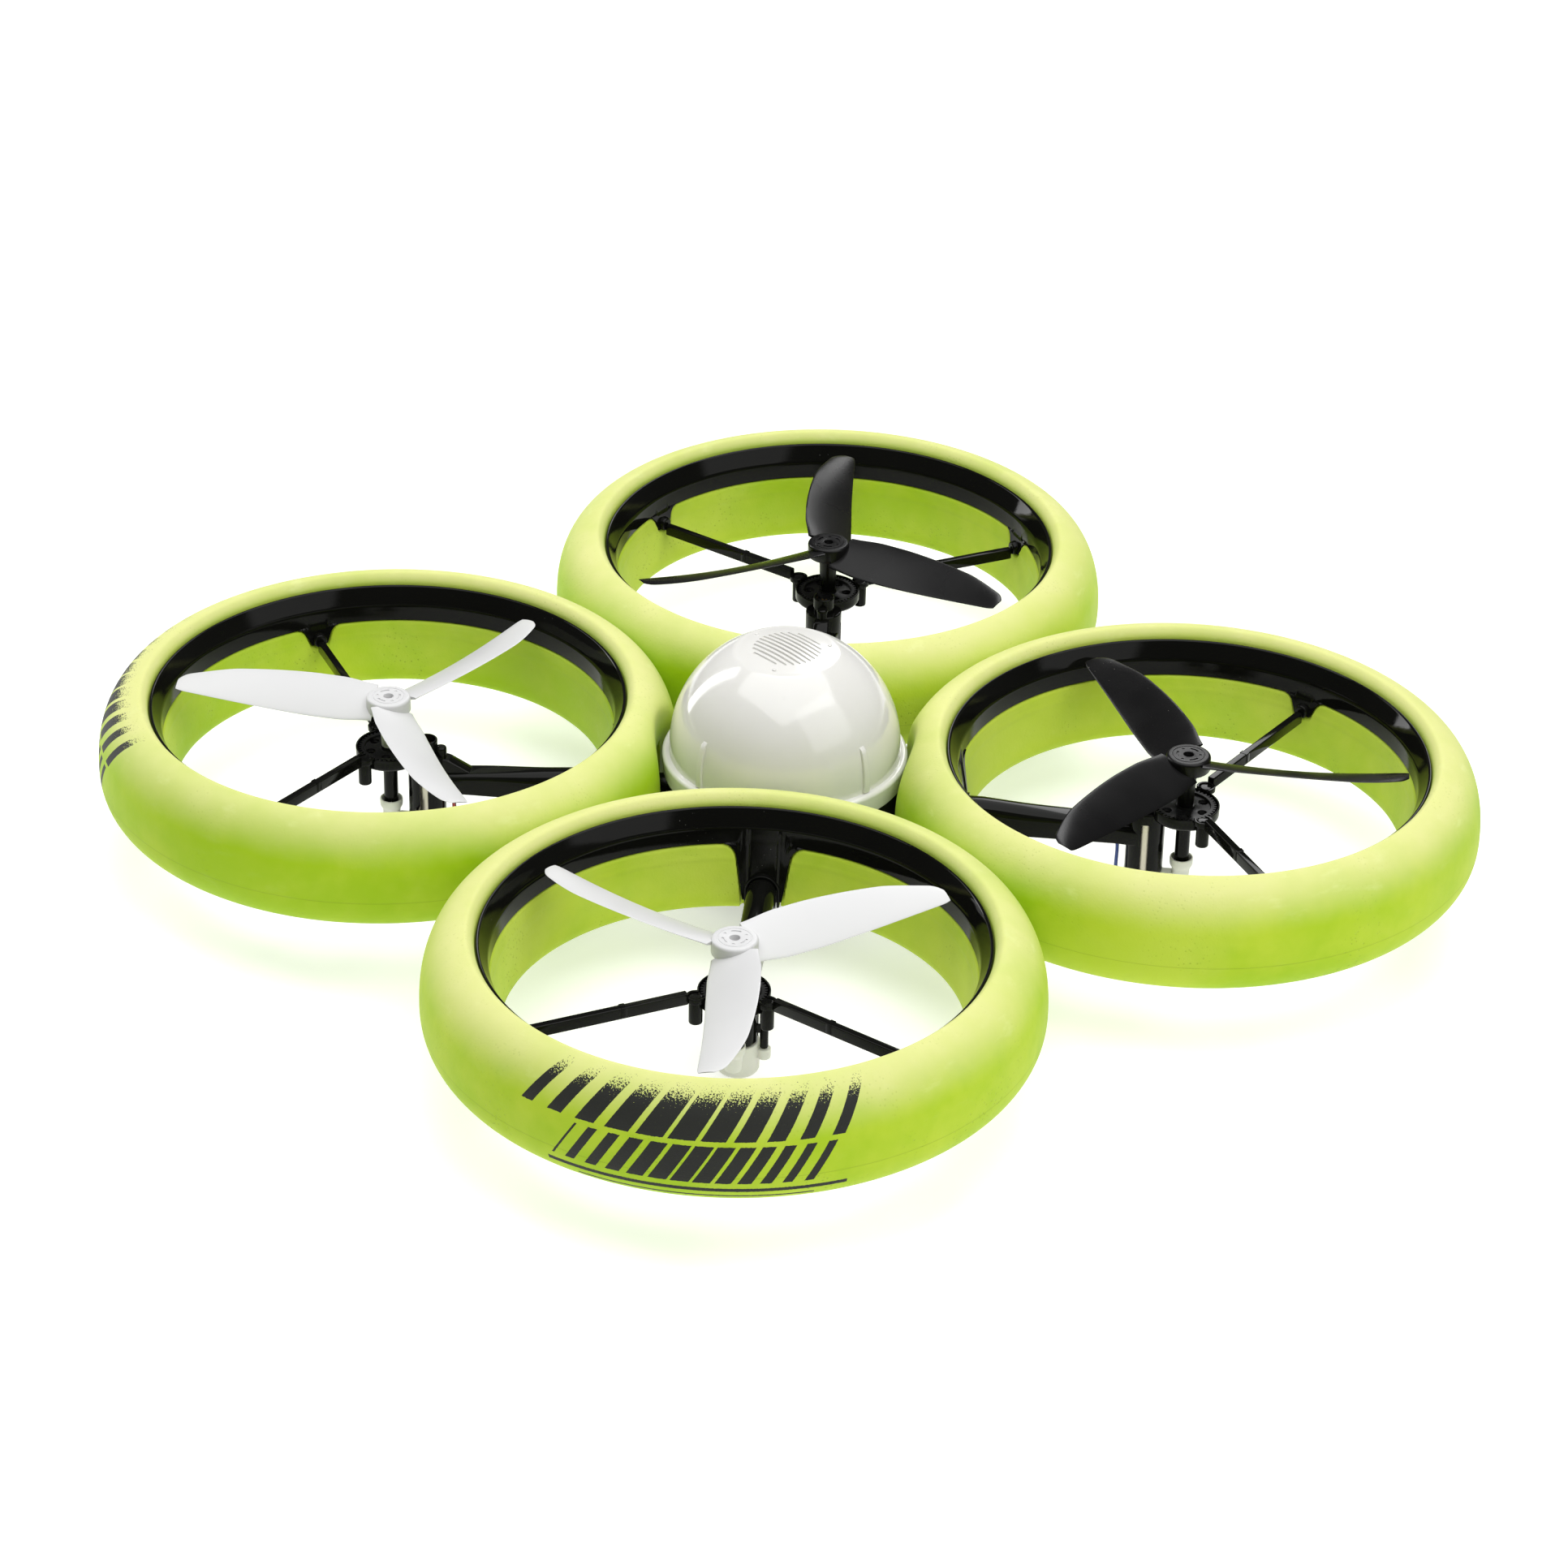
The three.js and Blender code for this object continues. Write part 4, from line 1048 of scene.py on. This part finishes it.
steel = metal("ground_steel", (0.52, 0.51, 0.49, 1), (0.66, 0.65, 0.63, 1), 0.16)
brass = metal("turned_brass", (0.62, 0.40, 0.14, 1), (0.80, 0.58, 0.24, 1), 0.18)
can_metal = metal("motor_can", (0.45, 0.41, 0.34, 1), (0.62, 0.58, 0.50, 1), 0.22)
spur, pinion = spur_mesh(), pinion_mesh()
shaft = peg(SHAFT_R, TUBE_FOOT + 0.3, LIP - 1.3, 0, 0, 0.15, 32).mesh("rotor_shaft")
bush = lathe(rounded([(SHAFT_R + 0.12, TUBE_FOOT + 0.5), (TUBE_BORE - 0.15, TUBE_FOOT + 0.5),
                      (TUBE_BORE - 0.15, TUBE_FOOT + 4.5), (SHAFT_R + 0.12, TUBE_FOOT + 4.5)],
                     0.12), 40).mesh("bush")
for pod in PODS:
    piece(f"spur_{pod}", spur, satin, f"rotor_{pod}", [f"spur_gear_{pod}"], pod)
    piece(f"pinion_{pod}", pinion, brass, f"pinion_{pod}", [f"motor_pinion_{pod}"], pod)
    piece(f"shaft_{pod}", shaft, steel, f"rotor_{pod}", [f"rotor_shaft_{pod}"], pod)
    piece(f"bush_{pod}", bush, brass, "airframe", [f"shaft_bush_{pod}"], pod)

# %% [markdown]
# ## Motors, foot caps and wires
# The motor is a small plated can that shows through slots in the barrel. An off-white cap closes
# the barrel and is the aircraft's foot; a flared collar on it grips the shaft tube. Two coloured
# wires leave the motor's foot and turn up into the hollow arm, fixed all the way.

# %% Motors
def motor_mesh():
    """The can, with a ring of small crimps near its foot."""
    foot, top = MOTOR_FOOT, MOTOR_TOP - 0.2
    can = lathe(rounded([(0, foot + 0.4), (1.0, foot + 0.4), (1.1, foot - 0.7), (1.55, foot - 0.7),
                         (1.6, foot + 0.5), (MOTOR_R - 0.5, foot + 0.5), (MOTOR_R - 0.45, foot),
                         (MOTOR_R, foot), (MOTOR_R, foot + 2.2), (MOTOR_R - 0.15, foot + 2.5),
                         (MOTOR_R, foot + 2.8), (MOTOR_R, top), (0, top)],
                        [0, 0, 0.2, 0.2, 0, 0, 0.1, 0.15, 0.05, 0.05, 0.05, 0.5, 0], 3),
                72, (MOTOR_X, 0))
    for k in range(10):
        x, y = around(MOTOR_R + 0.02, math.radians(36 * k + 8))
        can.add(peg(0.28, foot + 0.5, foot + 1.9, MOTOR_X + x, y, 0.12, 10))
    return can.mesh("motor_can", 35)


# %% Foot caps
CAP_R, COLLAR_R, COLLAR_TOP = 5.9, 3.35, 15.0


def foot_cap_mesh():
    """The cap under the motor, its collar round the shaft tube, and the boss that holds the pin."""
    m, top = MOTOR_X, COLLAR_TOP
    cup = lathe(rounded([(0, 0), (CAP_R - 0.9, 0), (CAP_R, 1.0), (CAP_R, CAP_TOP),
                         (CAP_R - 1.2, CAP_TOP), (CAP_R - 1.2, 2), (0, 2)],
                        [0, 0.6, 0.6, 0.35, 0.35, 0.5, 0], 4), 72, (m, 0))
    collar = lathe(rounded([(0, top - 8), (COLLAR_R - 1.1, top - 8), (COLLAR_R - 0.7, top - 3.4),
                            (COLLAR_R, top - 2.2), (COLLAR_R, top), (TUBE_R + 0.75, top),
                            (TUBE_R + 0.3, top - 1.6), (TUBE_R + 0.3, top - 3.3), (0, top - 3.3)],
                           [0, 0.3, 0.5, 0.6, 0.5, 0.3, 0.2, 0, 0], 4), 56)
    web = block(2.2, m - CAP_R + 1.4, -1.5, 1.5, top - 8, CAP_TOP, 0.35)
    boss = peg(PIN_R + 0.7, BOSS_TOP - 3.2, BOSS_TOP, PIN_X, PIN_Y, 0.4, 36)
    bridge = block(PIN_X - 1.2, PIN_X + 1.2, PIN_Y, -CAP_R + 0.7, BOSS_TOP - 3, BOSS_TOP - 0.3, 0.3)
    mesh = united([cup, web, boss, bridge, collar], "foot_cap")
    return carved(mesh, [peg(4.7, 2, CAP_TOP + 2, m, 0, 0.2, 64),
                         block(m + 3, m + 9, -1.9, 1.9, 3, CAP_TOP + 2, 0.3)])


# %% Wires
WIRE_R, WIRE_SIDE = 0.5, 0.58


def wire_mesh(offset):
    """A round wire along a smooth route: a Catmull-Rom curve with a circle carried along it."""
    m = MOTOR_X
    route = np.array([[m + 2.6, 7.4], [m + 2.9, 5.6], [m + 5, 4.6], [m + 7.2, 6], [m + 7.9, 10],
                      [m + 7.9, 18], [m + 9.4, 22.4], [m + 15, 23.8], [REACH - 50, 25.4],
                      [ARM_END - 0.6, 25.4]])
    ends = np.concatenate([[2 * route[0] - route[1]], route, [2 * route[-1] - route[-2]]])
    line = []
    for k in range(len(route) - 1):
        a, b, c, d = ends[k:k + 4]
        t = np.linspace(0, 1, 9)[:, None]
        part = 0.5 * (2 * b + (c - a) * t + (2 * a - 5 * b + 4 * c - d) * t ** 2
                      + (3 * b - a - 3 * c + d) * t ** 3)
        line.append(part if k == len(route) - 2 else part[:-1])
    line = np.concatenate(line)
    ahead = np.gradient(line, axis=0)
    ahead /= np.linalg.norm(ahead, axis=1, keepdims=True)
    turn = np.linspace(0, 2 * np.pi, 14, endpoint=False)
    points = np.empty((len(line), len(turn), 3))
    points[..., 0] = line[:, :1] - WIRE_R * ahead[:, 1:] * np.cos(turn)
    points[..., 2] = line[:, 1:] + WIRE_R * ahead[:, :1] * np.cos(turn)
    points[..., 1] = offset + WIRE_R * np.sin(turn)
    return swept(points).mesh("motor_wire", 50)


def insulation(name, colour):
    """Soft PVC: one colour with faint smears, a waxy sheen and slight waves along the wire."""
    m = Nodes(name)
    smear = m.noise(240.0, 3.0, 0.5)
    darker = tuple(0.7 * part for part in colour) + (1,)
    m.shade(Base_Color=m.mix(smear, darker, colour + (1,)),
            Roughness=m.spread(smear, 0.32, 0.5),
            Normal=m.bump(m.noise(500.0, 2.0), 0.00005, 0.5), Coat_Weight=0.2)
    return m.material


def off_white():
    """Cap plastic: warm white, a little uneven, with fine mould texture and handling marks."""
    m = Nodes("cap_white")
    cloud = m.noise(90.0, 3.0, 0.5)
    marks = m.ramp(m.noise(420.0, 4.0, 0.65), 0.62, 0.75)
    colour = m.mix(cloud, (0.66, 0.65, 0.60, 1), (0.78, 0.775, 0.73, 1))
    colour = m.mix(m.times(marks, 0.25), colour, (0.42, 0.40, 0.34, 1))
    m.shade(Base_Color=colour, Roughness=m.spread(cloud, 0.38, 0.5),
            Normal=m.bump(m.noise(1800.0, 2.0), 0.00003, 0.4), Subsurface_Weight=0.1,
            Subsurface_Radius=(0.002, 0.0015, 0.001))
    return m.material


cap_white = off_white()
wire_colours = {"red": insulation("wire_red", (0.42, 0.012, 0.010)),
                "blue": insulation("wire_blue", (0.02, 0.06, 0.35)),
                "black": insulation("wire_black", (0.012, 0.012, 0.012)),
                "white": insulation("wire_white", (0.68, 0.68, 0.66))}
WIRE_PAIRS = {"front_right": ("red", "black"), "rear_left": ("black", "blue"),
              "front_left": ("black", "white"), "rear_right": ("black", "white")}
motor, foot_cap = motor_mesh(), foot_cap_mesh()
wires = {side: wire_mesh(WIRE_SIDE * side) for side in (-1, 1)}
for pod in PODS:
    piece(f"motor_can_{pod}", motor, can_metal, "airframe", [f"motor_{pod}"], pod)
    piece(f"cap_{pod}", foot_cap, cap_white, "airframe", [f"foot_cap_{pod}"], pod)
    for side, colour in zip((-1, 1), WIRE_PAIRS[pod]):
        piece(f"wire_{colour}_{pod}", wires[side], wire_colours[colour], "airframe",
              [f"motor_wires_{pod}"], pod)
print(f"foot cap {len(foot_cap.polygons)} faces, motor {len(motor.polygons)} faces")

# %% [markdown]
# ## Propellers
# A propeller is one moulding: a small disc, a sleeve under it and three twisted blades. A blade is
# a grid of thin aerofoil sections. Its chord, pitch, sweep and lift are close to the packed
# model's, so the finished blade fills the same space, and its tip is rounded.

# %% Propeller shape
BLADE_ROOT, BLADE_TIP, BLADE_Z, CHORD = 4.2, 62.5, LIP - 2.7, 15.7
WIDEST_R, SWEEP_R, TIP_R, CORNER_R = 22, 46, 56, 58.5
HUB_R, HUB_FOOT, SLEEVE_R = 6.4, LIP - 4.6, 2.85


def blade_shape(hand, turn):
    """One blade: sections along r, each a flat cambered leaf from edge to edge and back."""
    last = BLADE_TIP - 5.5 * np.cos(np.linspace(0, np.pi / 2, 17))[1:]
    r = np.concatenate([np.linspace(BLADE_ROOT, 57, 64), last])
    tip, sweep, corner = (np.clip((r - start) / (BLADE_TIP - start), 0, 1)
                          for start in (TIP_R, SWEEP_R, CORNER_R))
    taper = np.clip((r - WIDEST_R) / 40, 0, None) ** 1.5
    chord = CHORD * (1 - 0.4 * taper) * (1 - 0.13 * smooth(-r, -15, -4))
    pitch = math.radians(23.5) * (1 - 0.55 * ((r - WIDEST_R) / 40) ** 2)
    front = 0.5 - 0.27 * sweep ** 1.6 - 0.2 * corner ** 3
    back = -0.5 + 0.05 * tip ** 6
    t = 0.5 * (1 - np.cos(np.pi * np.linspace(0, 1, 17)))
    thick = 0.34 + 0.42 * np.exp(-(r - BLADE_ROOT) / 16) * 1.3
    camber = 0.55 * (1 - 0.4 * (r / BLADE_TIP)) * (front - back)
    leaf = np.concatenate([t, t[-2:0:-1]])
    is_top = np.arange(len(leaf)) < len(t)
    across = back[:, None] + (front - back)[:, None] * leaf[None, :]
    bulge = np.sqrt(np.clip(1 - (2 * leaf - 1) ** 2, 0, 1)) ** 0.75
    arch = (1 - (2 * leaf - 1) ** 2) * camber[:, None]
    skin = np.where(is_top, 1, -1) * bulge * thick[:, None] * 0.75 * (1 - 0.5 * tip[:, None] ** 6)
    height = arch - camber[:, None] * 0.5 + skin
    wide = across * chord[:, None]
    offset = 3.3 * np.sin(np.pi * r / 88)[:, None] + wide * np.cos(pitch)[:, None]
    lift = 1.6 * (r[:, None] / BLADE_TIP) ** 2 + wide * np.sin(pitch)[:, None] + height
    along = np.broadcast_to(r[:, None], lift.shape)
    points = np.stack([along, hand * offset, BLADE_Z + lift], axis=2)
    return Shape().add(swept(points), turned_about_axis(turn))


def propeller_mesh(hand):
    """Disc, sleeve and blades in one skin, with marks on the disc. hand is the way it turns."""
    hub = lathe(rounded([(0, HUB_FOOT), (HUB_R - 0.2, HUB_FOOT), (HUB_R, HUB_FOOT + 0.3),
                         (HUB_R, LIP - 0.55), (HUB_R - 0.5, LIP - 0.02), (4.7, LIP - 0.02),
                         (4.6, LIP - 0.16), (4.45, LIP - 0.16), (4.35, LIP - 0.02),
                         (1.5, LIP - 0.02), (1.42, LIP - 0.2), (1.42, LIP - 1.7), (0, LIP - 1.7)],
                        [0, 0.2, 0, 0.4, 0.35, 0, 0, 0, 0, 0.1, 0, 0, 0], 3), 96)
    sleeve_foot = GEAR_Z + GEAR_T + 0.22
    sleeve = lathe(rounded([(0, sleeve_foot), (SLEEVE_R - 0.5, sleeve_foot),
                            (SLEEVE_R, HUB_FOOT + 0.6), (0, HUB_FOOT + 0.6)], [0, 0.2, 0, 0]), 48)
    parts = [hub, sleeve] + [blade_shape(hand, math.pi / 3 + k * 2 * math.pi / 3) for k in range(3)]
    mesh = united(parts, "propeller")
    drills = [peg(SHAFT_R + 0.06, sleeve_foot - 2, LIP - 1.25, 0, 0, 0, 32)]
    for k in range(3):
        middle = 120 + 120 * k
        ring = np.concatenate([arc(3.55, middle - 24, middle + 24),
                               arc(2.95, middle + 24, middle - 24)])
        drills.append(upright(ring, LIP - 0.27, LIP + 1, 0))
        dot = around(3.3, math.radians(middle - 60))
        drills.append(peg(0.42, LIP - 0.18, LIP + 1, *dot, 0, 16))
    return carved(mesh, drills)


# %% Propeller plastics
def propeller_plastic(name, dark):
    """Satin moulded nylon, with dust specks. The black ones show fine scratches as well."""
    m = Nodes(name)
    cloud = m.noise(40.0, 3.0, 0.5)
    hair = m.noise(260.0, 4.0, 0.7, stretch=(1.0, 5.0, 1.0), distortion=0.6)
    specks = m.times(m.ramp(m.spots(430.0), 0.035, 0.07, 1.0, 0.0),
                    m.ramp(m.noise(70.0), 0.5, 0.62))
    if dark:
        colour = m.mix(cloud, (0.0030, 0.0030, 0.0032, 1), (0.0060, 0.0058, 0.0060, 1))
        colour = m.mix(m.times(specks, 0.5), colour, (0.30, 0.28, 0.24, 1))
        colour = m.mix(m.times(m.ramp(hair, 0.66, 0.78), 0.06), colour,
                       (0.20, 0.20, 0.20, 1))
        m.shade(Base_Color=colour, Roughness=m.spread(cloud, 0.24, 0.32),
                Normal=m.bump(hair, 0.00003, 0.5), Specular_IOR_Level=0.20)
    else:
        colour = m.mix(cloud, (0.60, 0.60, 0.605, 1), (0.66, 0.66, 0.66, 1))
        colour = m.mix(m.times(specks, 0.35), colour, (0.55, 0.54, 0.50, 1))
        m.shade(Base_Color=colour, Roughness=m.spread(cloud, 0.30, 0.42),
                Normal=m.bump(m.noise(900.0, 2.0), 0.00002, 0.35), Subsurface_Weight=0.12,
                Subsurface_Radius=(0.003, 0.003, 0.003))
    return m.material


HANDS = {"front_right": -1, "front_left": 1, "rear_right": 1, "rear_left": -1}
BLADE_FINISHES = {"front": (propeller_plastic("propeller_white", False), "propeller_white"),
                  "rear": (propeller_plastic("propeller_black", True), "propeller_black")}
propellers = {hand: propeller_mesh(hand) for hand in (-1, 1)}
for pod in PODS:
    finish, slot = BLADE_FINISHES[pod.split("_")[0]]
    piece(f"rotor_blades_{pod}", propellers[HANDS[pod]], finish, f"rotor_{pod}",
          [f"propeller_{pod}"], pod)
print(f"propeller {len(propellers[1].polygons)} faces")

# %% [markdown]
# ## The dome and the body under it
# The dome is a thin opal shell with a stepped rim. A shallow disc on top has eleven parallel vent
# grooves and three small pips, and four ribs climb from the rim. Under it a shallow black tray
# carries the board, the battery behind a sliding door, and the power switch.

# %% Dome
DOME_R, DOME_Z, DOME_TOP, DOME_WALL = 33.2, LIP - 5.6, LIP + 25.5, 1.5
RIM_R, RIM_TOP, RIM_FOOT = 35.4, LIP - 8, LIP - 14.5
DISC_R, VENT_R, VENT_PITCH, VENT_W = 15.0, 9.8, 1.72, 0.8
PIP_AT = 12.5
VENT_ANGLE = math.radians(5)
RIB_ANGLES = (-85, 5, 95, 185)


def ball(radius, start, stop, steps):
    """Points on the dome's circle between two heights, given as angles above its middle."""
    return arc(radius, math.degrees(start), math.degrees(stop), (0, DOME_Z), steps)


def dome_mesh():
    """The shell turned on a lathe, grooved for the vents, with its ribs and pips joined on."""
    skirt = math.asin((RIM_TOP - DOME_Z) / DOME_R)
    edge = math.acos(DISC_R / DOME_R)
    disc_edge = DOME_Z + DOME_R * math.sin(edge) - 0.1
    disc_r = np.linspace(DISC_R - 0.5, 0, 14)
    disc_rise = (DOME_TOP - 0.05 - disc_edge) * (1 - (disc_r / DISC_R) ** 2)
    disc = np.column_stack([disc_r, disc_edge + disc_rise])
    outer = np.concatenate([
        rounded([(RIM_R - DOME_WALL - 1.1, RIM_FOOT), (RIM_R - 0.45, RIM_FOOT),
                 (RIM_R - 0.1, RIM_TOP - 2.2), (RIM_R, RIM_TOP - 0.7), (RIM_R - 0.7, RIM_TOP),
                 (DOME_R + 0.15, RIM_TOP)],
                [0, 0.4, 0.3, 0.5, 0.5, 0.4], 4, closed=False),
        ball(DOME_R, skirt + 0.02, edge, 40), disc])
    inner = ball(DOME_R - DOME_WALL, math.radians(90), skirt, 26)
    inner[:, 1] = np.minimum(inner[:, 1], DOME_TOP - DOME_WALL - 0.3)
    inner[0, 0] = 0.0
    mesh = lathe(np.concatenate([outer, inner]), 144).mesh("dome", 30)
    turned = turned_about_axis(VENT_ANGLE)
    grooves = []
    for k in range(-5, 6):
        across = k * VENT_PITCH
        half = math.sqrt(VENT_R ** 2 - across ** 2)
        outline = np.concatenate([arc(VENT_W / 2, -90, 90, (half - VENT_W / 2, across), 7),
                                  arc(VENT_W / 2, 90, 270, (VENT_W / 2 - half, across), 7)])
        grooves.append(Shape().add(upright(outline, DOME_TOP - 1.1, DOME_TOP + 4, 0), turned))
    mesh = carved(mesh, grooves)
    extra = Shape()
    for angle in RIB_ANGLES:
        extra.add(dome_rib(), turned_about_axis(math.radians(angle)))
    z = disc_edge + (DOME_TOP - disc_edge) * (1 - (PIP_AT / DISC_R) ** 2)
    for k in range(3):
        place = around(PIP_AT, VENT_ANGLE + math.radians(180 + 120 * k))
        extra.add(peg(0.6, z - 0.6, z + 0.3, *place, 0.25, 24))
    return crisp(boolean(mesh, extra.mesh("extra"), "UNION"), 35)


def dome_rib():
    """A slim rib that lies on the dome, from the rim upwards: a rounded bar swept along it."""
    sections = []
    for t in np.linspace(0, 1, 14):
        out = around(1.0, math.radians(-3.5 + 24 * t))
        rise = 0.8 * math.sqrt(max(0.0, 1 - (2 * max(t, 0.5) - 1) ** 8))
        half = 1.1 * (1 - 0.25 * t)
        outline = rounded([(-half, -0.6), (half, -0.6), (half, rise), (-half, rise)], 0.3, 3)
        sections.append([((DOME_R + h) * out[0], y, DOME_Z + (DOME_R + h) * out[1])
                         for y, h in outline])
    return swept(sections)


def opal():
    """Glossy opal plastic: light goes a little way in, with faint flow clouds and a few marks."""
    m = Nodes("opal_white")
    cloud = m.noise(45.0, 3.0, 0.5)
    marks = m.ramp(m.noise(240.0, 4.0, 0.65), 0.64, 0.76)
    colour = m.mix(cloud, (0.70, 0.69, 0.655, 1), (0.76, 0.755, 0.73, 1))
    colour = m.mix(m.times(marks, 0.10), colour, (0.5, 0.49, 0.46, 1))
    m.shade(Base_Color=colour, Roughness=m.spread(cloud, 0.10, 0.18),
            Normal=m.bump(cloud, 0.0003, 0.12), Subsurface_Weight=0.25,
            Subsurface_Radius=(0.004, 0.004, 0.0035), Coat_Weight=0.25, Coat_Roughness=0.05)
    return m.material


piece("dome_shell", dome_mesh(), opal(), "airframe", ["dome_cover"])

# %% Lower body, battery door, switch, battery and board
TRAY_R, TRAY_FOOT, TRAY_TOP, TRAY_WALL = 33.4, 14.0, LIP - 14.8, 1.5
SWITCH_X = 22.5


def lower_body_mesh():
    """The tray, with the door's rails under it, cut for the battery, switch, arms and vents."""
    foot, wall = TRAY_FOOT, TRAY_WALL
    tray = lathe(rounded([(0, foot), (TRAY_R - 3, foot), (TRAY_R, foot + 3), (TRAY_R, TRAY_TOP),
                          (TRAY_R - wall, TRAY_TOP), (TRAY_R - wall, foot + wall + 1.5),
                          (TRAY_R - wall - 2, foot + wall), (0, foot + wall)],
                         [0, 1.5, 1.5, 0.3, 0.3, 1, 1, 0], 4), 128)
    rails = []
    for side in (-1, 1):
        for inner, top in ((17.4, foot + 0.5), (15.6, foot - 2.3)):
            rails.append(block(*sorted((side * inner, side * 18.8)), -21, 21, foot - 3.4, top, 0.2))
    rails.append(block(-18.8, 18.8, -22.2, -20.8, foot - 3.4, foot + 0.5, 0.2))
    mesh = united([tray] + rails, "lower_body")
    cuts = [block(-15, 15, -19, 19, 0, foot + 4, 0.4),
            block(SWITCH_X - 1.6, SWITCH_X + 1.6, -2, 4, 0, foot + 4, 0.2)]
    gate = upright(rounded([(20, -4.3), (50, -4.3), (50, 4.3), (20, 4.3)], 0.2),
                   ARM_BOTTOM - 0.3, ARM_TOP + 0.3, 0.2)
    for k in range(4):
        cuts.append(Shape().add(gate, turned_about_axis(math.radians(45 + 90 * k))))
    for k in range(5):
        cuts.append(peg(0.9, 0, foot + 4, -26.5, -8 + 4 * k, 0, 20))
    return carved(mesh, cuts)


def door_mesh():
    """A flat plate with four grip grooves."""
    foot = TRAY_FOOT - 2
    plate = block(-17, 17, -20.5, 21.5, foot, foot + 1.6, 0.35)
    grips = [block(-9, 9, y, y + 0.7, foot - 1.0, foot + 0.4, 0.2)
             for y in (14.5, 16.1, 17.7, 19.3)]
    return carved(plate.mesh("door", 35), grips)


def battery_mesh():
    """A soft-edged pouch: a box whose corners are a superellipse in every section."""
    u = np.linspace(-np.pi / 2, np.pi / 2, 26)[:, None]
    v = np.linspace(-np.pi, np.pi, 64, endpoint=False)[None, :]
    power = lambda value, n: np.sign(value) * np.abs(value) ** (2 / n)
    x = 14.4 * power(np.cos(u), 5) * power(np.cos(v), 9)
    y = 18.3 * power(np.cos(u), 5) * power(np.sin(v), 9)
    z = 18.8 + 4.1 * power(np.sin(u), 5) + 0 * v
    return Shape().grid(np.stack([x, y, z], axis=2), wrap_j=True).mesh("battery_pouch", 60)


def plain(name, colour_a, colour_b, rough, scale=80.0, bump_scale=1500.0, **more):
    """A moulded or wrapped finish between two colours."""
    m = Nodes(name)
    cloud = m.noise(scale, 3.0, 0.55)
    m.shade(Base_Color=m.mix(cloud, colour_a + (1,), colour_b + (1,)),
            Roughness=m.spread(cloud, rough, rough + 0.12),
            Normal=m.bump(m.noise(bump_scale, 2.0), 0.00004, 0.4), **more)
    return m.material


wrap = plain("battery_wrap", (0.03, 0.07, 0.28), (0.05, 0.10, 0.36), 0.25, 200.0, 300.0,
             Coat_Weight=0.3)
board_green = plain("solder_mask", (0.012, 0.09, 0.03), (0.02, 0.13, 0.045), 0.3, 900.0, 1800.0)
switch_white = plain("switch_white", (0.70, 0.70, 0.67), (0.78, 0.78, 0.76), 0.35, 300.0)
piece("tray", lower_body_mesh(), satin, "airframe", ["lower_body"])
piece("sliding_door", door_mesh(), satin, "battery_door", ["battery_door"])
piece("battery_pouch", battery_mesh(), wrap, "airframe", ["battery"])
for node, finish in (("circuit_board", board_green), ("power_switch", switch_white)):
    part = frame["nodes"][node]
    part.data.materials.clear()
    part.data.materials.append(finish)

# %% Finish
bpy.context.view_layer.update()
